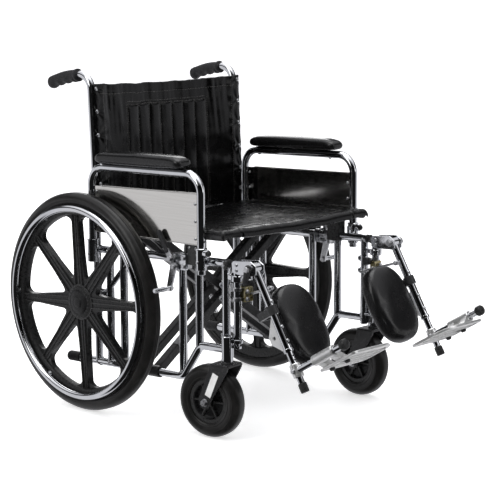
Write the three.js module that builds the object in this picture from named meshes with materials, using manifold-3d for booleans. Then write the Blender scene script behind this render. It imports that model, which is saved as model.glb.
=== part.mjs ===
// Manual folding wheelchair with full-length removable arms and swing-away elevating legrests.
// Millimetres. +Z up, the chair faces -Y, the occupant's left is +X.
// The origin is on the floor, midway along the length and the width.
import * as THREE from "three";
import { mergeVertices } from "three/addons/utils/BufferGeometryUtils.js";
import Module from "manifold-3d";

// ---- driving dimensions ----
const FRAME_HALF_WIDTH = 280; // side frame tubes, from the middle of the chair
const TUBE_RADIUS = 11;
const TUBE_SIDES = 10;
const RAIL_SLOPE = THREE.MathUtils.degToRad(2); // the rails rise towards the front
const FIT_GAP = 0.3; // between pieces that touch

const AXLE = { y: 311, z: 305, radius: 8 };
const WHEEL = { x: 348.6, radius: 305, tyreWidth: 46, rimRadius: 275, rimWidth: 32, spokes: 8 };
const SPOKE_PHASE = THREE.MathUtils.degToRad(-4); // how far the wheels have rolled
const HANDRIM = { x: 376, radius: 263, tube: 9.5, tabs: 6 };

const CASTER = { x: 298, stemY: -203, trail: 50, radius: 97.5, width: 50, stemRadius: 8 };
const RIGHT_CASTER_SWIVEL = THREE.MathUtils.degToRad(-8); // the right caster stands turned a little
const CASTER_HOUSING = { radius: 15, bottom: 207.5, top: 276 };

const CANE = { footY: 322, topY: 338, bendZ: 936, bend: 42, gripEndY: 504, gripEndZ: 905, gripStartY: 388 };
const UPRIGHT_Y = [270, 214];
const BRACE = { footY: 288, footZ: 322, headY: 166, radius: 8 };
const INNER_UPRIGHT = { x: 262, y: -2 };
const MIDDLE_UPRIGHT_Y = -83;
const FRONT_UPRIGHT_Y = -183;
const LEVER_END_Y = 444;

const ARM = { x: 306, frontY: -118, rearY: 311, frontTopZ: 691, rearTopZ: 680, bend: 52 };
const ARM_LEG_END = { front: 428, rear: 418 };
const ARM_SOCKET = { radius: 15, bore: 12 };
const ARM_PANEL = { thickness: 3, bottomZ: 504, rearTopZ: 627, frontTopZ: 648 };
const ARM_PAD = { frontY: -62, rearY: 274, width: 62, thickness: 33 };

const CROSS = { bar: 25, halfAngleRun: 280, y: { a: [87, 154], b: [120.5, 187.5] }, bolt: 6 };
const SEAT_RAIL = { frontY: -177, rearY: 294 };
const SEAT = { thickness: 4, sag: 20, halfWidth: 292, frontY: -184, rearY: 286 };
const BACK = { thickness: 4, sag: 22, halfWidth: 291, bottomZ: 522, topZ: 904 };

const BRAKE = { y: -14, z: 452, leverX: 317, shoeX: 310, shoeZ: 378, shoeY: -2, shoeRadius: 6 };

const HANGER = { y: -224, bottomZ: 256, collarZ: 428, pinRadius: 5 };
const KNEE = { y: -286, z: 462 };
const LEG_TILT = THREE.MathUtils.degToRad(30.5); // from vertical, the foot forward
const LEG = { length: 232, bore: 9.7, footTube: 9 };
const PLATE = { jointS: 283, topS: 305, bottomS: 313, inner: 95, outer: 266, rearT: 58, frontT: 190 };
const FOOT_PIVOT = { length: 187, capRadius: 14 };
const CALF = { x: 184.5, s: 166, t: -16, width: 158, length: 226, thickness: 52 };
const RATCHET = { x: 257, radius: 3.5, pinS: 60, blockY: -240, blockZ: 385, tail: 55 };

// The heights of the three rails at a given y.
const slopeRise = (fromY, y) => (fromY - y) * Math.tan(RAIL_SLOPE);
const lowerRailZ = (y) => 130 + slopeRise(140, y);
const upperRailZ = (y) => 453 + slopeRise(100, y);
const seatRailZ = (y) => 519 + slopeRise(140, y);

const COLOURS = {
  chrome: { color: 0xc8cacd, roughness: 0.12, metalness: 1 },
  zinc: { color: 0xa9adb3, roughness: 0.35, metalness: 0.9 },
  aluminium: { color: 0xc9cbcc, roughness: 0.4, metalness: 0.8 },
  panel: { color: 0xb9bab6, roughness: 0.2, metalness: 0.9 },
  blackPaint: { color: 0x131314, roughness: 0.4, metalness: 0.2 },
  blackPlastic: { color: 0x17181a, roughness: 0.45, metalness: 0 },
  rubber: { color: 0x1c1c1e, roughness: 0.75, metalness: 0 },
  vinyl: { color: 0x141417, roughness: 0.45, metalness: 0 },
};

// ---- solids: joining and cutting closed meshes ----
const wasm = await Module();
wasm.setup();

function toSolid(geometry) {
  const bare = geometry.clone();
  bare.deleteAttribute("normal");
  bare.deleteAttribute("uv");
  const merged = mergeVertices(bare, 1e-3);
  return new wasm.Manifold(
    new wasm.Mesh({
      numProp: 3,
      vertProperties: new Float32Array(merged.attributes.position.array),
      triVerts: new Uint32Array(merged.index.array),
    }),
  );
}

function toGeometry(solid) {
  const mesh = solid.getMesh();
  const geometry = new THREE.BufferGeometry();
  geometry.setAttribute("position", new THREE.BufferAttribute(mesh.vertProperties, 3));
  geometry.setIndex(new THREE.BufferAttribute(mesh.triVerts, 1));
  geometry.computeVertexNormals();
  return geometry;
}

function joinAndCut(added, removed = []) {
  let solid = toSolid(added[0]);
  for (const geometry of added.slice(1)) solid = solid.add(toSolid(geometry));
  for (const geometry of removed) solid = solid.subtract(toSolid(geometry));
  return toGeometry(solid);
}

// ---- basic shapes ----
const vec = (x, y, z) => new THREE.Vector3(x, y, z);

// A round bar between two points.
function rod(from, to, radius, sides = TUBE_SIDES, endRadius = radius) {
  const along = to.clone().sub(from);
  const geometry = new THREE.CylinderGeometry(endRadius, radius, along.length(), sides);
  geometry.applyQuaternion(
    new THREE.Quaternion().setFromUnitVectors(vec(0, 1, 0), along.clone().normalize()),
  );
  const middle = from.clone().add(to).multiplyScalar(0.5);
  return geometry.translate(middle.x, middle.y, middle.z);
}

// A box given by its lowest and highest corners.
function block(low, high) {
  const size = high.clone().sub(low);
  const middle = low.clone().add(high).multiplyScalar(0.5);
  return new THREE.BoxGeometry(size.x, size.y, size.z).translate(middle.x, middle.y, middle.z);
}

// A path of straight runs with round bends, with stations only where the direction changes.
class BentPath extends THREE.Curve {
  constructor(corners, bendRadius, stepAngle = Math.PI / 9) {
    super();
    this.stations = [];
    const put = (point, tangent) => this.stations.push({ point, tangent: tangent.clone() });
    const direction = (i) => corners[i + 1].clone().sub(corners[i]).normalize();
    put(corners[0], direction(0));
    for (let i = 1; i < corners.length - 1; i += 1) {
      const before = direction(i - 1);
      const after = direction(i);
      const turn = before.angleTo(after);
      const normal = after.clone().addScaledVector(before, -after.dot(before)).normalize();
      const start = corners[i].clone().addScaledVector(before, -bendRadius * Math.tan(turn / 2));
      const centre = start.clone().addScaledVector(normal, bendRadius);
      const steps = Math.max(1, Math.round(turn / stepAngle));
      for (let k = 0; k <= steps; k += 1) {
        const angle = (turn * k) / steps;
        const point = centre
          .clone()
          .addScaledVector(normal, -bendRadius * Math.cos(angle))
          .addScaledVector(before, bendRadius * Math.sin(angle));
        const tangent = before
          .clone()
          .multiplyScalar(Math.cos(angle))
          .addScaledVector(normal, Math.sin(angle));
        put(point, tangent);
      }
    }
    put(corners[corners.length - 1], direction(corners.length - 2));
  }
  station(u) {
    return this.stations[Math.round(u * (this.stations.length - 1))];
  }
  getPointAt(u, target = new THREE.Vector3()) {
    return target.copy(this.station(u).point);
  }
  getTangentAt(u, target = new THREE.Vector3()) {
    return target.copy(this.station(u).tangent);
  }
}

function polygonShape(radius, sides) {
  const points = [];
  for (let i = 0; i < sides; i += 1) {
    const angle = (2 * Math.PI * i) / sides;
    points.push(new THREE.Vector2(radius * Math.cos(angle), radius * Math.sin(angle)));
  }
  return new THREE.Shape(points);
}

// A bent round tube along corners.
function bentTube(corners, bendRadius, radius = TUBE_RADIUS, sides = TUBE_SIDES) {
  const path = new BentPath(corners, bendRadius);
  return new THREE.ExtrudeGeometry(polygonShape(radius, sides), {
    extrudePath: path,
    steps: path.stations.length - 1,
    bevelEnabled: false,
  });
}

// A flat plate: an outline of [y, z] points, or a Shape, from one x to another.
function sidePlate(outline, fromX, toX) {
  const shape = outline instanceof THREE.Shape
    ? outline
    : new THREE.Shape(outline.map(([y, z]) => new THREE.Vector2(y, z)));
  const geometry = new THREE.ExtrudeGeometry(shape, {
    depth: toX - fromX,
    bevelEnabled: false,
    curveSegments: 6,
  });
  // the outline's own axes become y and z, and its thickness runs along x
  geometry.applyMatrix4(
    new THREE.Matrix4().makeBasis(vec(0, 1, 0), vec(0, 0, 1), vec(1, 0, 0)),
  );
  return geometry.translate(fromX, 0, 0);
}

// A turned piece about the x axis: a closed profile of [radius, x] points.
function turnedAboutX(profile, segments) {
  const points = profile.map(([radius, x]) => new THREE.Vector2(radius, x));
  if (profile[0][0] > 0) points.push(points[0].clone());
  return new THREE.LatheGeometry(points, segments).rotateZ(-Math.PI / 2);
}

// A rounded rectangle, as a Shape, from its corners and its corner radius.
function roundedRectangle(left, bottom, right, top, radius) {
  const shape = new THREE.Shape();
  shape.moveTo(left + radius, bottom);
  shape.lineTo(right - radius, bottom);
  shape.absarc(right - radius, bottom + radius, radius, -Math.PI / 2, 0);
  shape.lineTo(right, top - radius);
  shape.absarc(right - radius, top - radius, radius, 0, Math.PI / 2);
  shape.lineTo(left + radius, top);
  shape.absarc(left + radius, top - radius, radius, Math.PI / 2, Math.PI);
  shape.lineTo(left, bottom + radius);
  shape.absarc(left + radius, bottom + radius, radius, Math.PI, Math.PI * 1.5);
  return shape;
}

function named(name, geometry, finish) {
  const mesh = new THREE.Mesh(geometry, new THREE.MeshStandardMaterial(COLOURS[finish]));
  mesh.name = name;
  return mesh;
}

// ---- side frame ----
const frameX = FRAME_HALF_WIDTH;

// The axis of a rail at a given y, at the side frame's own x unless another is given.
const onLower = (y, x = frameX) => vec(x, y, lowerRailZ(y));
const onUpper = (y, x = frameX) => vec(x, y, upperRailZ(y));
const onSeatRail = (y, x = frameX) => vec(x, y, seatRailZ(y));

const gripDirection = vec(0, CANE.gripEndY - CANE.topY, CANE.gripEndZ - CANE.bendZ).normalize();
const onGrip = (y) => {
  const corner = vec(frameX, CANE.topY, CANE.bendZ);
  return corner.addScaledVector(gripDirection, (y - CANE.topY) / gripDirection.y);
};

function caneAndHandle() {
  const corners = [
    vec(frameX, CANE.footY, lowerRailZ(CANE.footY) - 6),
    vec(frameX, CANE.footY + 2, 640),
    vec(frameX, CANE.topY, CANE.bendZ),
    onGrip(CANE.gripEndY),
  ];
  return bentTube(corners, CANE.bend);
}

function lowerRail() {
  const bendZ = 231;
  const corners = [
    onLower(LEVER_END_Y),
    onLower(-20),
    vec(frameX, -88, bendZ),
    vec(frameX, FRONT_UPRIGHT_Y, bendZ + slopeRise(-88, FRONT_UPRIGHT_Y)),
  ];
  return bentTube(corners, 30);
}

function uprights() {
  const parts = UPRIGHT_Y.map((y) => rod(onLower(y), onUpper(y), TUBE_RADIUS));
  const { x, y } = INNER_UPRIGHT;
  parts.push(rod(vec(x, y, lowerRailZ(y) - 4), vec(x, y, upperRailZ(y) + 2), TUBE_RADIUS));
  parts.push(rod(vec(frameX, MIDDLE_UPRIGHT_Y, 231), onUpper(MIDDLE_UPRIGHT_Y), TUBE_RADIUS));
  parts.push(rod(vec(frameX, FRONT_UPRIGHT_Y, 214), onUpper(FRONT_UPRIGHT_Y), TUBE_RADIUS));
  return parts;
}

// A short upright sleeve that holds an arm leg, with its weld to the frame.
function armSocket(y, bottom, top, weldY) {
  const { radius } = ARM_SOCKET;
  return [
    rod(vec(ARM.x, y, bottom), vec(ARM.x, y, top), radius, 12),
    block(vec(frameX, Math.min(y, weldY) - 5, bottom + 8), vec(ARM.x - 4, Math.max(y, weldY) + 5, top - 8)),
  ];
}

function sideFrame() {
  const { radius, bottom, top } = CASTER_HOUSING;
  const latchY = ARM.frontY - ARM_SOCKET.radius;
  const rearGuideY = 238;
  const added = [
    caneAndHandle(),
    lowerRail(),
    rod(onUpper(CANE.footY), onUpper(-196), TUBE_RADIUS),
    ...uprights(),
    // diagonal brace from the axle plate to the upper rail
    rod(vec(frameX, BRACE.footY, BRACE.footZ), onUpper(BRACE.headY), BRACE.radius, 12),
    // axle receiver, welded between the rear tubes
    rod(vec(frameX - 14, AXLE.y, AXLE.z), vec(316, AXLE.y, AXLE.z), 15, 12),
    block(vec(frameX - 6, UPRIGHT_Y[0], AXLE.z - 24), vec(frameX + 6, CANE.footY, AXLE.z + 24)),
    // caster housing and its weld
    rod(vec(CASTER.x, CASTER.stemY, bottom), vec(CASTER.x, CASTER.stemY, top), radius, 12),
    block(vec(frameX, CASTER.stemY - 4, bottom + 10), vec(CASTER.x, FRONT_UPRIGHT_Y + 4, top - 10)),
    ...armSocket(ARM.rearY, 414, 478, CANE.footY),
    ...armSocket(ARM.frontY, 440, 498, ARM.frontY),
    // the latch button's barrel, on the front socket
    rod(vec(ARM.x, latchY + 3, 486), vec(ARM.x, latchY - 11, 486), 10.5, 12),
    // legrest supports: a lug with a pin below, and a collar above
    block(vec(frameX - 8, HANGER.y - 9, 243), vec(frameX + 8, FRONT_UPRIGHT_Y, 250)),
    rod(vec(frameX, HANGER.y, 248), vec(frameX, HANGER.y, 274), HANGER.pinRadius, 12),
    rod(vec(frameX, HANGER.y, HANGER.collarZ - 8), vec(frameX, HANGER.y, HANGER.collarZ + 8), 17, 12),
    block(
      vec(frameX - 6, HANGER.y + 8, HANGER.collarZ - 6),
      vec(frameX + 6, FRONT_UPRIGHT_Y, HANGER.collarZ + 6),
    ),
    // the rear seat rail rest
    block(vec(frameX - 10, rearGuideY - 10, 445), vec(frameX + 10, rearGuideY + 10, 503)),
  ];
  const removed = [
    rod(vec(frameX - 20, AXLE.y, AXLE.z), vec(330, AXLE.y, AXLE.z), AXLE.radius + 0.4, 12),
    rod(vec(CASTER.x, CASTER.stemY, 190), vec(CASTER.x, CASTER.stemY, 266), CASTER.stemRadius + 0.6, 12),
    rod(vec(ARM.x, ARM.rearY, 400), vec(ARM.x, ARM.rearY, 520), ARM_SOCKET.bore, 12),
    rod(vec(ARM.x, ARM.frontY, 400), vec(ARM.x, ARM.frontY, 520), ARM_SOCKET.bore, 12),
    rod(vec(ARM.x, latchY - 2.5, 486), vec(ARM.x, latchY - 20, 486), 8.3, 12),
    rod(vec(frameX, HANGER.y, HANGER.collarZ - 20), vec(frameX, HANGER.y, HANGER.collarZ + 20), 12, 12),
    rod(
      onSeatRail(rearGuideY - 30),
      onSeatRail(rearGuideY + 30),
      TUBE_RADIUS + 1,
      16,
    ),
  ];
  return joinAndCut(added, removed);
}

// A hand grip: a ribbed rubber sleeve with one closed end.
function pushGrip() {
  const length = (CANE.gripEndY + 5 - CANE.gripStartY) / gripDirection.y;
  const bore = TUBE_RADIUS + FIT_GAP;
  const boreDepth = length - 5;
  const profile = [
    [bore, 0], [19, 0], [19, 4], [15.5, 8], [15, length / 2], [16, length - 14],
    [17.5, length - 8], [17, length - 1.5], [13, length], [0, length], [0, boreDepth], [bore, boreDepth],
  ];
  const points = profile.map(([r, s]) => new THREE.Vector2(r, s));
  points.push(points[0].clone());
  const geometry = new THREE.LatheGeometry(points, TUBE_SIDES);
  geometry.applyQuaternion(new THREE.Quaternion().setFromUnitVectors(vec(0, 1, 0), gripDirection));
  const start = onGrip(CANE.gripStartY);
  return joinAndCut([geometry.translate(start.x, start.y, start.z)], [caneBore()]);
}

// The handle tube, a little oversize, that the grip is hollowed by.
function caneBore() {
  return rod(onGrip(CANE.gripStartY - 5), onGrip(CANE.gripEndY + 0.4), TUBE_RADIUS + 0.5, 12);
}

function tippingLeverTip() {
  const end = onLower(LEVER_END_Y);
  const back = onLower(LEVER_END_Y - 42);
  const over = onLower(LEVER_END_Y + 5);
  return joinAndCut(
    [rod(back, over, 14.5, 12)],
    [rod(onLower(LEVER_END_Y - 60), end.clone().add(vec(0, 0.4, 0)), TUBE_RADIUS + 0.5, 12)],
  );
}

// The plastic saddle on the upper rail that the seat rail drops into.
function seatGuide() {
  const y = -76;
  return joinAndCut(
    [block(vec(frameX - 15, y - 20, 446), vec(frameX + 15, y + 20, seatRailZ(y) - 1))],
    [
      rod(onUpper(y - 60), onUpper(y + 60), TUBE_RADIUS + 0.5, 12),
      rod(onSeatRail(y - 60), onSeatRail(y + 60), TUBE_RADIUS + 0.8, 12),
      rod(
        vec(frameX, MIDDLE_UPRIGHT_Y, 430),
        vec(frameX, MIDDLE_UPRIGHT_Y, upperRailZ(y)),
        TUBE_RADIUS + 0.5,
        16,
      ),
    ],
  );
}

// ---- rear wheel, about its own centre, outboard along +X ----
function wheelWindow(middleAngle) {
  const inner = 62;
  const outer = 243;
  const corner = 36;
  const pitch = Math.PI / WHEEL.spokes;
  const halfAngle = (radius, spokeHalfWidth) => pitch - Math.asin(spokeHalfWidth / radius);
  const innerHalf = halfAngle(inner, 19);
  const outerHalf = halfAngle(outer, 12);
  const at = (radius, angle) =>
    new THREE.Vector2(radius * Math.cos(middleAngle + angle), radius * Math.sin(middleAngle + angle));
  const path = new THREE.Path();
  const start = at(inner + corner, -innerHalf + 0.02);
  const side = at(outer - corner, -outerHalf);
  const bend = corner / outer;
  path.moveTo(start.x, start.y);
  path.lineTo(side.x, side.y);
  const a = at(outer, -outerHalf);
  const b = at(outer, -outerHalf + bend);
  path.quadraticCurveTo(a.x, a.y, b.x, b.y);
  path.absarc(0, 0, outer, middleAngle - outerHalf + bend, middleAngle + outerHalf - bend);
  const c = at(outer, outerHalf);
  const d = at(outer - corner, outerHalf);
  path.quadraticCurveTo(c.x, c.y, d.x, d.y);
  const e = at(inner + corner, innerHalf - 0.02);
  path.lineTo(e.x, e.y);
  const f = at(inner - 4, 0);
  path.quadraticCurveTo(f.x, f.y, start.x, start.y);
  return path;
}

function wheelMag() {
  const disc = polygonShape(WHEEL.rimRadius - 16, 36);
  for (let i = 0; i < WHEEL.spokes; i += 1) {
    disc.holes.push(wheelWindow(((i + 0.5) * 2 * Math.PI) / WHEEL.spokes + SPOKE_PHASE));
  }
  const web = new THREE.ExtrudeGeometry(disc, { depth: 18, bevelEnabled: false, curveSegments: 3 });
  web.translate(0, 0, -9).rotateY(Math.PI / 2);
  const half = WHEEL.rimWidth / 2;
  const rim = turnedAboutX(
    [[246, -half], [WHEEL.rimRadius - FIT_GAP, -half], [WHEEL.rimRadius - FIT_GAP, half], [246, half]],
    36,
  );
  const hub = turnedAboutX([[0, -24], [26, -24], [46, -12], [50, 10], [0, 10]], 24);
  const bore = rod(vec(-40, 0, 0), vec(40, 0, 0), AXLE.radius + 0.6, 12);
  const pocket = rod(vec(-8, 0, 0), vec(40, 0, 0), 17, 12);
  return joinAndCut([web, rim, hub], [bore, pocket]);
}

function wheelTyre() {
  const half = WHEEL.tyreWidth / 2;
  const r = WHEEL.radius;
  const profile = [
    [WHEEL.rimRadius, -half + 4], [r - 26, -half], [r - 10, -half + 4], [r, -9], [r, 9],
    [r - 10, half - 4], [r - 26, half], [WHEEL.rimRadius, half - 4],
  ];
  return turnedAboutX(profile, 36);
}

function handrim() {
  const ring = new THREE.TorusGeometry(HANDRIM.radius, HANDRIM.tube, 8, 32).rotateY(Math.PI / 2);
  const offset = HANDRIM.x - WHEEL.x;
  ring.translate(offset, 0, 0);
  const tabs = [];
  for (let i = 0; i < HANDRIM.tabs; i += 1) {
    const tab = rod(
      vec(WHEEL.rimWidth / 2 + FIT_GAP, 0, HANDRIM.radius - 4),
      vec(offset, 0, HANDRIM.radius - 4),
      5,
      8,
    );
    tabs.push(tab.rotateX(((i + 0.5) * 2 * Math.PI) / HANDRIM.tabs));
  }
  return joinAndCut([ring, ...tabs]);
}

function hubCap() {
  return turnedAboutX([[0, 10.4], [44, 10.4], [40, 14.5], [22, 18], [0, 19]], 24);
}

// The axle bolt, in the side frame's own place.
function wheelAxle() {
  const start = vec(frameX - 20, AXLE.y, AXLE.z);
  const headStart = vec(WHEEL.x - 7, AXLE.y, AXLE.z);
  const end = vec(WHEEL.x + 4, AXLE.y, AXLE.z);
  return joinAndCut([rod(start, end, AXLE.radius, 12), rod(headStart, end, 14, 12)]);
}

// ---- front caster, about the point on the floor below its stem ----
function casterFork() {
  const gap = CASTER.width / 2 + 3;
  const thickness = 5;
  const axle = { y: CASTER.trail, z: CASTER.radius };
  const crownTop = CASTER_HOUSING.bottom - 3.5;
  const leg = new THREE.Shape();
  leg.moveTo(-24, crownTop);
  leg.lineTo(-24, crownTop - 14);
  leg.lineTo(axle.y - 17, axle.z + 4);
  leg.absarc(axle.y, axle.z, 17, Math.PI - 0.2, 0.1);
  leg.lineTo(34, crownTop);
  const bolt = rod(vec(-gap - 11, axle.y, axle.z), vec(gap + 11, axle.y, axle.z), 6, 12);
  return joinAndCut([
    sidePlate(leg, gap, gap + thickness),
    sidePlate(leg, -gap - thickness, -gap),
    block(vec(-gap - thickness, -24, crownTop - 6), vec(gap + thickness, 34, crownTop)),
    rod(vec(0, 0, crownTop - 2), vec(0, 0, crownTop + 3), 16, 12),
    rod(vec(0, 0, crownTop - 2), vec(0, 0, 262), CASTER.stemRadius, 10),
    bolt,
  ]);
}

const CASTER_RIM = { radius: 60, bore: 7 };

function casterWheel() {
  const { radius, bore } = CASTER_RIM;
  const profile = [
    [bore, -26], [20, -26], [22, -9], [48, -9], [50, -18], [radius, -18],
    [radius, 18], [50, 18], [48, 9], [22, 9], [20, 26], [bore, 26],
  ];
  return turnedAboutX(profile, 20);
}

function casterTyre() {
  const half = CASTER.width / 2;
  const inner = CASTER_RIM.radius + FIT_GAP;
  const r = CASTER.radius;
  const profile = [
    [inner, -half + 4], [r - 14, -half], [r, -10], [r, 10], [r - 14, half], [inner, half - 4],
  ];
  return turnedAboutX(profile, 20);
}

// ---- arm: a bent tube with a panel and a pad ----
const armTopZ = (y) =>
  THREE.MathUtils.mapLinear(y, ARM.rearY, ARM.frontY, ARM.rearTopZ, ARM.frontTopZ);

function armFrame() {
  return bentTube(
    [
      vec(ARM.x, ARM.frontY, ARM_LEG_END.front),
      vec(ARM.x, ARM.frontY, ARM.frontTopZ),
      vec(ARM.x, ARM.rearY, ARM.rearTopZ),
      vec(ARM.x, ARM.rearY, ARM_LEG_END.rear),
    ],
    ARM.bend,
  );
}

function armPanel() {
  const inset = TUBE_RADIUS + FIT_GAP;
  const front = ARM.frontY + inset;
  const rear = ARM.rearY - inset;
  const { thickness, bottomZ, rearTopZ, frontTopZ } = ARM_PANEL;
  const outline = [
    [front, bottomZ], [rear, bottomZ - 4], [rear, rearTopZ],
    [rear - 30, rearTopZ + 2], [front, frontTopZ - 8],
  ];
  return sidePlate(outline, ARM.x - thickness / 2, ARM.x + thickness / 2);
}

function armPad() {
  const { frontY, rearY, width, thickness } = ARM_PAD;
  const bevel = 8;
  const half = width / 2;
  const outline = roundedRectangle(-half + bevel, bevel, half - bevel, rearY - frontY - bevel, 12);
  const geometry = new THREE.ExtrudeGeometry(outline, {
    depth: thickness - 2 * bevel,
    bevelThickness: bevel,
    bevelSize: bevel,
    bevelSegments: 1,
    curveSegments: 4,
  });
  geometry.translate(0, 0, bevel);
  const slope = Math.atan2(ARM.frontTopZ - ARM.rearTopZ, ARM.rearY - ARM.frontY);
  geometry.rotateX(-slope);
  return geometry.translate(ARM.x, frontY, armTopZ(frontY) + TUBE_RADIUS + 0.6);
}

function armLatch() {
  const face = ARM.frontY - ARM_SOCKET.radius;
  return rod(vec(ARM.x, face - 7, 486), vec(ARM.x, face - 18, 486), 7.5, 12);
}

// ---- wheel lock ----
const RAIL_CLEAR = TUBE_RADIUS + 0.5;

function brakeClamp() {
  const { y, z } = BRAKE;
  return joinAndCut(
    [
      block(vec(frameX - 3, y - 42, z - 20), vec(frameX + 22, y + 14, z + 22)),
      rod(vec(frameX + 20, y, z + 8), vec(BRAKE.leverX + 6, y, z + 8), 5, 12),
      rod(vec(frameX + 20, y - 4, z - 14), vec(BRAKE.shoeX + 4, y - 4, z - 14), 5, 12),
    ],
    [rod(onUpper(y - 90), onUpper(y + 90), RAIL_CLEAR, 12)],
  );
}

function brakeLever() {
  const { y, z, leverX } = BRAKE;
  const pivot = vec(leverX, y, z + 8);
  const tip = vec(leverX, y + 46, z + 78);
  const along = tip.clone().sub(pivot);
  const gripStart = pivot.clone().addScaledVector(along, 0.42);
  return joinAndCut(
    [
      rod(vec(leverX - 3, y, z + 8), vec(leverX + 3, y, z + 8), 12, 12),
      rod(pivot, tip, 4.5, 8),
      rod(gripStart, tip.clone().addScaledVector(along, 0.02), 7, 12),
    ],
    [rod(vec(leverX - 20, y, z + 8), vec(leverX + 20, y, z + 8), 5.7, 12)],
  );
}

function brakeShoe() {
  const { y, z, shoeX, shoeY, shoeZ, shoeRadius } = BRAKE;
  const pivotY = y - 4;
  const pivotZ = z - 14;
  const arm = [
    [pivotY - 12, pivotZ + 4], [pivotY - 6, pivotZ + 11], [pivotY + 7, pivotZ + 10], [pivotY + 12, pivotZ],
    [shoeY + 9, shoeZ + 6], [shoeY + 6, shoeZ - 7], [shoeY - 7, shoeZ - 7], [shoeY - 9, shoeZ + 6],
  ].reverse();
  return joinAndCut(
    [
      sidePlate(arm, shoeX - 3, shoeX + 3),
      rod(vec(shoeX, shoeY, shoeZ), vec(WHEEL.x + 20, shoeY, shoeZ), shoeRadius, 12),
    ],
    [rod(vec(shoeX - 20, pivotY, pivotZ), vec(shoeX + 20, pivotY, pivotZ), 5.7, 12)],
  );
}

// ---- swing-away legrest ----
function hanger() {
  const x = frameX;
  const { y, bottomZ, pinRadius } = HANGER;
  const earThickness = 4;
  const earGap = 13;
  const ear = [
    [KNEE.y - 16, KNEE.z - 14], [y + 4, KNEE.z - 16], [y + 4, KNEE.z + 12], [KNEE.y - 6, KNEE.z + 17],
    [KNEE.y - 16, KNEE.z + 8],
  ];
  const { blockY, blockZ } = RATCHET;
  const block0 = vec(RATCHET.x - 10, blockY - 8, blockZ - 17);
  const block1 = vec(x - 4, blockY + 10, blockZ + 22);
  return joinAndCut(
    [
      rod(vec(x, y, bottomZ), vec(x, y, KNEE.z + 10), TUBE_RADIUS),
      sidePlate(ear, x + earGap, x + earGap + earThickness),
      sidePlate(ear, x - earGap - earThickness, x - earGap),
      block(vec(x - earGap - 1, y - 16, KNEE.z - 16), vec(x + earGap + 1, y + 4, KNEE.z + 11)),
      rod(vec(x - earGap - 8, KNEE.y, KNEE.z), vec(x + 34, KNEE.y, KNEE.z), 5, 12),
      // latch arm, pointing inboard, and the ratchet block
      block(vec(x - 48, y - 8, 404), vec(x, y + 6, 412)),
      block(vec(x - 50, y - 14, 398), vec(x - 36, y + 10, 418)),
      block(block0, block1),
    ],
    [
      rod(vec(x, y, bottomZ - 10), vec(x, y, bottomZ + 26), pinRadius + 0.7, 12),
      // the ratchet rod's passage through its block
      block(
        vec(RATCHET.x - 6, blockY - 30, blockZ - 13),
        vec(RATCHET.x + 6, blockY + 30, blockZ + 15),
      ),
    ],
  );
}

function releaseHandle() {
  const x = frameX + 27;
  const pivot = vec(x, KNEE.y, KNEE.z);
  return joinAndCut(
    [
      rod(pivot, vec(x, KNEE.y + 12, KNEE.z - 42), 8.8, 12, 5),
      rod(pivot, vec(x, KNEE.y - 2, KNEE.z + 11), 8.8, 12, 5.5),
    ],
    [rod(vec(x - 20, KNEE.y, KNEE.z), vec(x + 20, KNEE.y, KNEE.z), 5.7, 12)],
  );
}

// Pieces of the leg are modelled straight down from the knee: (x, -forward, -down).
const legPoint = (x, forward, down) => vec(x, -forward, -down);

function legTube() {
  const x = frameX;
  const gusset = [[8, -134], [44, -178], [40, -196], [6, -230]].reverse();
  return joinAndCut(
    [
      rod(vec(x - 11, 0, 0), vec(x + 11, 0, 0), 14, 12),
      rod(legPoint(x, 0, 6), legPoint(x, 0, LEG.length), TUBE_RADIUS, 12),
      sidePlate(gusset, x + 2, x + 6),
      // the ratchet rod's pin, inboard
      rod(legPoint(x - 4, 0, RATCHET.pinS), legPoint(RATCHET.x - 6, 0, RATCHET.pinS), 3, 12),
    ],
    [
      rod(vec(x - 20, 0, 0), vec(x + 20, 0, 0), 5.7, 12),
      rod(legPoint(x, 0, 90), legPoint(x, 0, LEG.length + 10), LEG.bore + 0.6, 12),
    ],
  );
}

function footTube() {
  const x = frameX;
  const { jointS } = PLATE;
  const end = FOOT_PIVOT.length;
  return joinAndCut([
    rod(legPoint(x, 0, 112), legPoint(x, 0, jointS + 56), LEG.footTube, 12),
    rod(legPoint(x, 0, jointS - 16), legPoint(x, 0, jointS + 16), 14, 12),
    rod(legPoint(x, 0, jointS + 34), legPoint(x, 0, jointS + 58), 11.5, 12),
    rod(legPoint(x, 0, jointS), legPoint(x, end, jointS), LEG.footTube, 12),
    rod(legPoint(x, end - 12, jointS), legPoint(x, end + 4, jointS), FOOT_PIVOT.capRadius, 12),
  ]);
}

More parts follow.
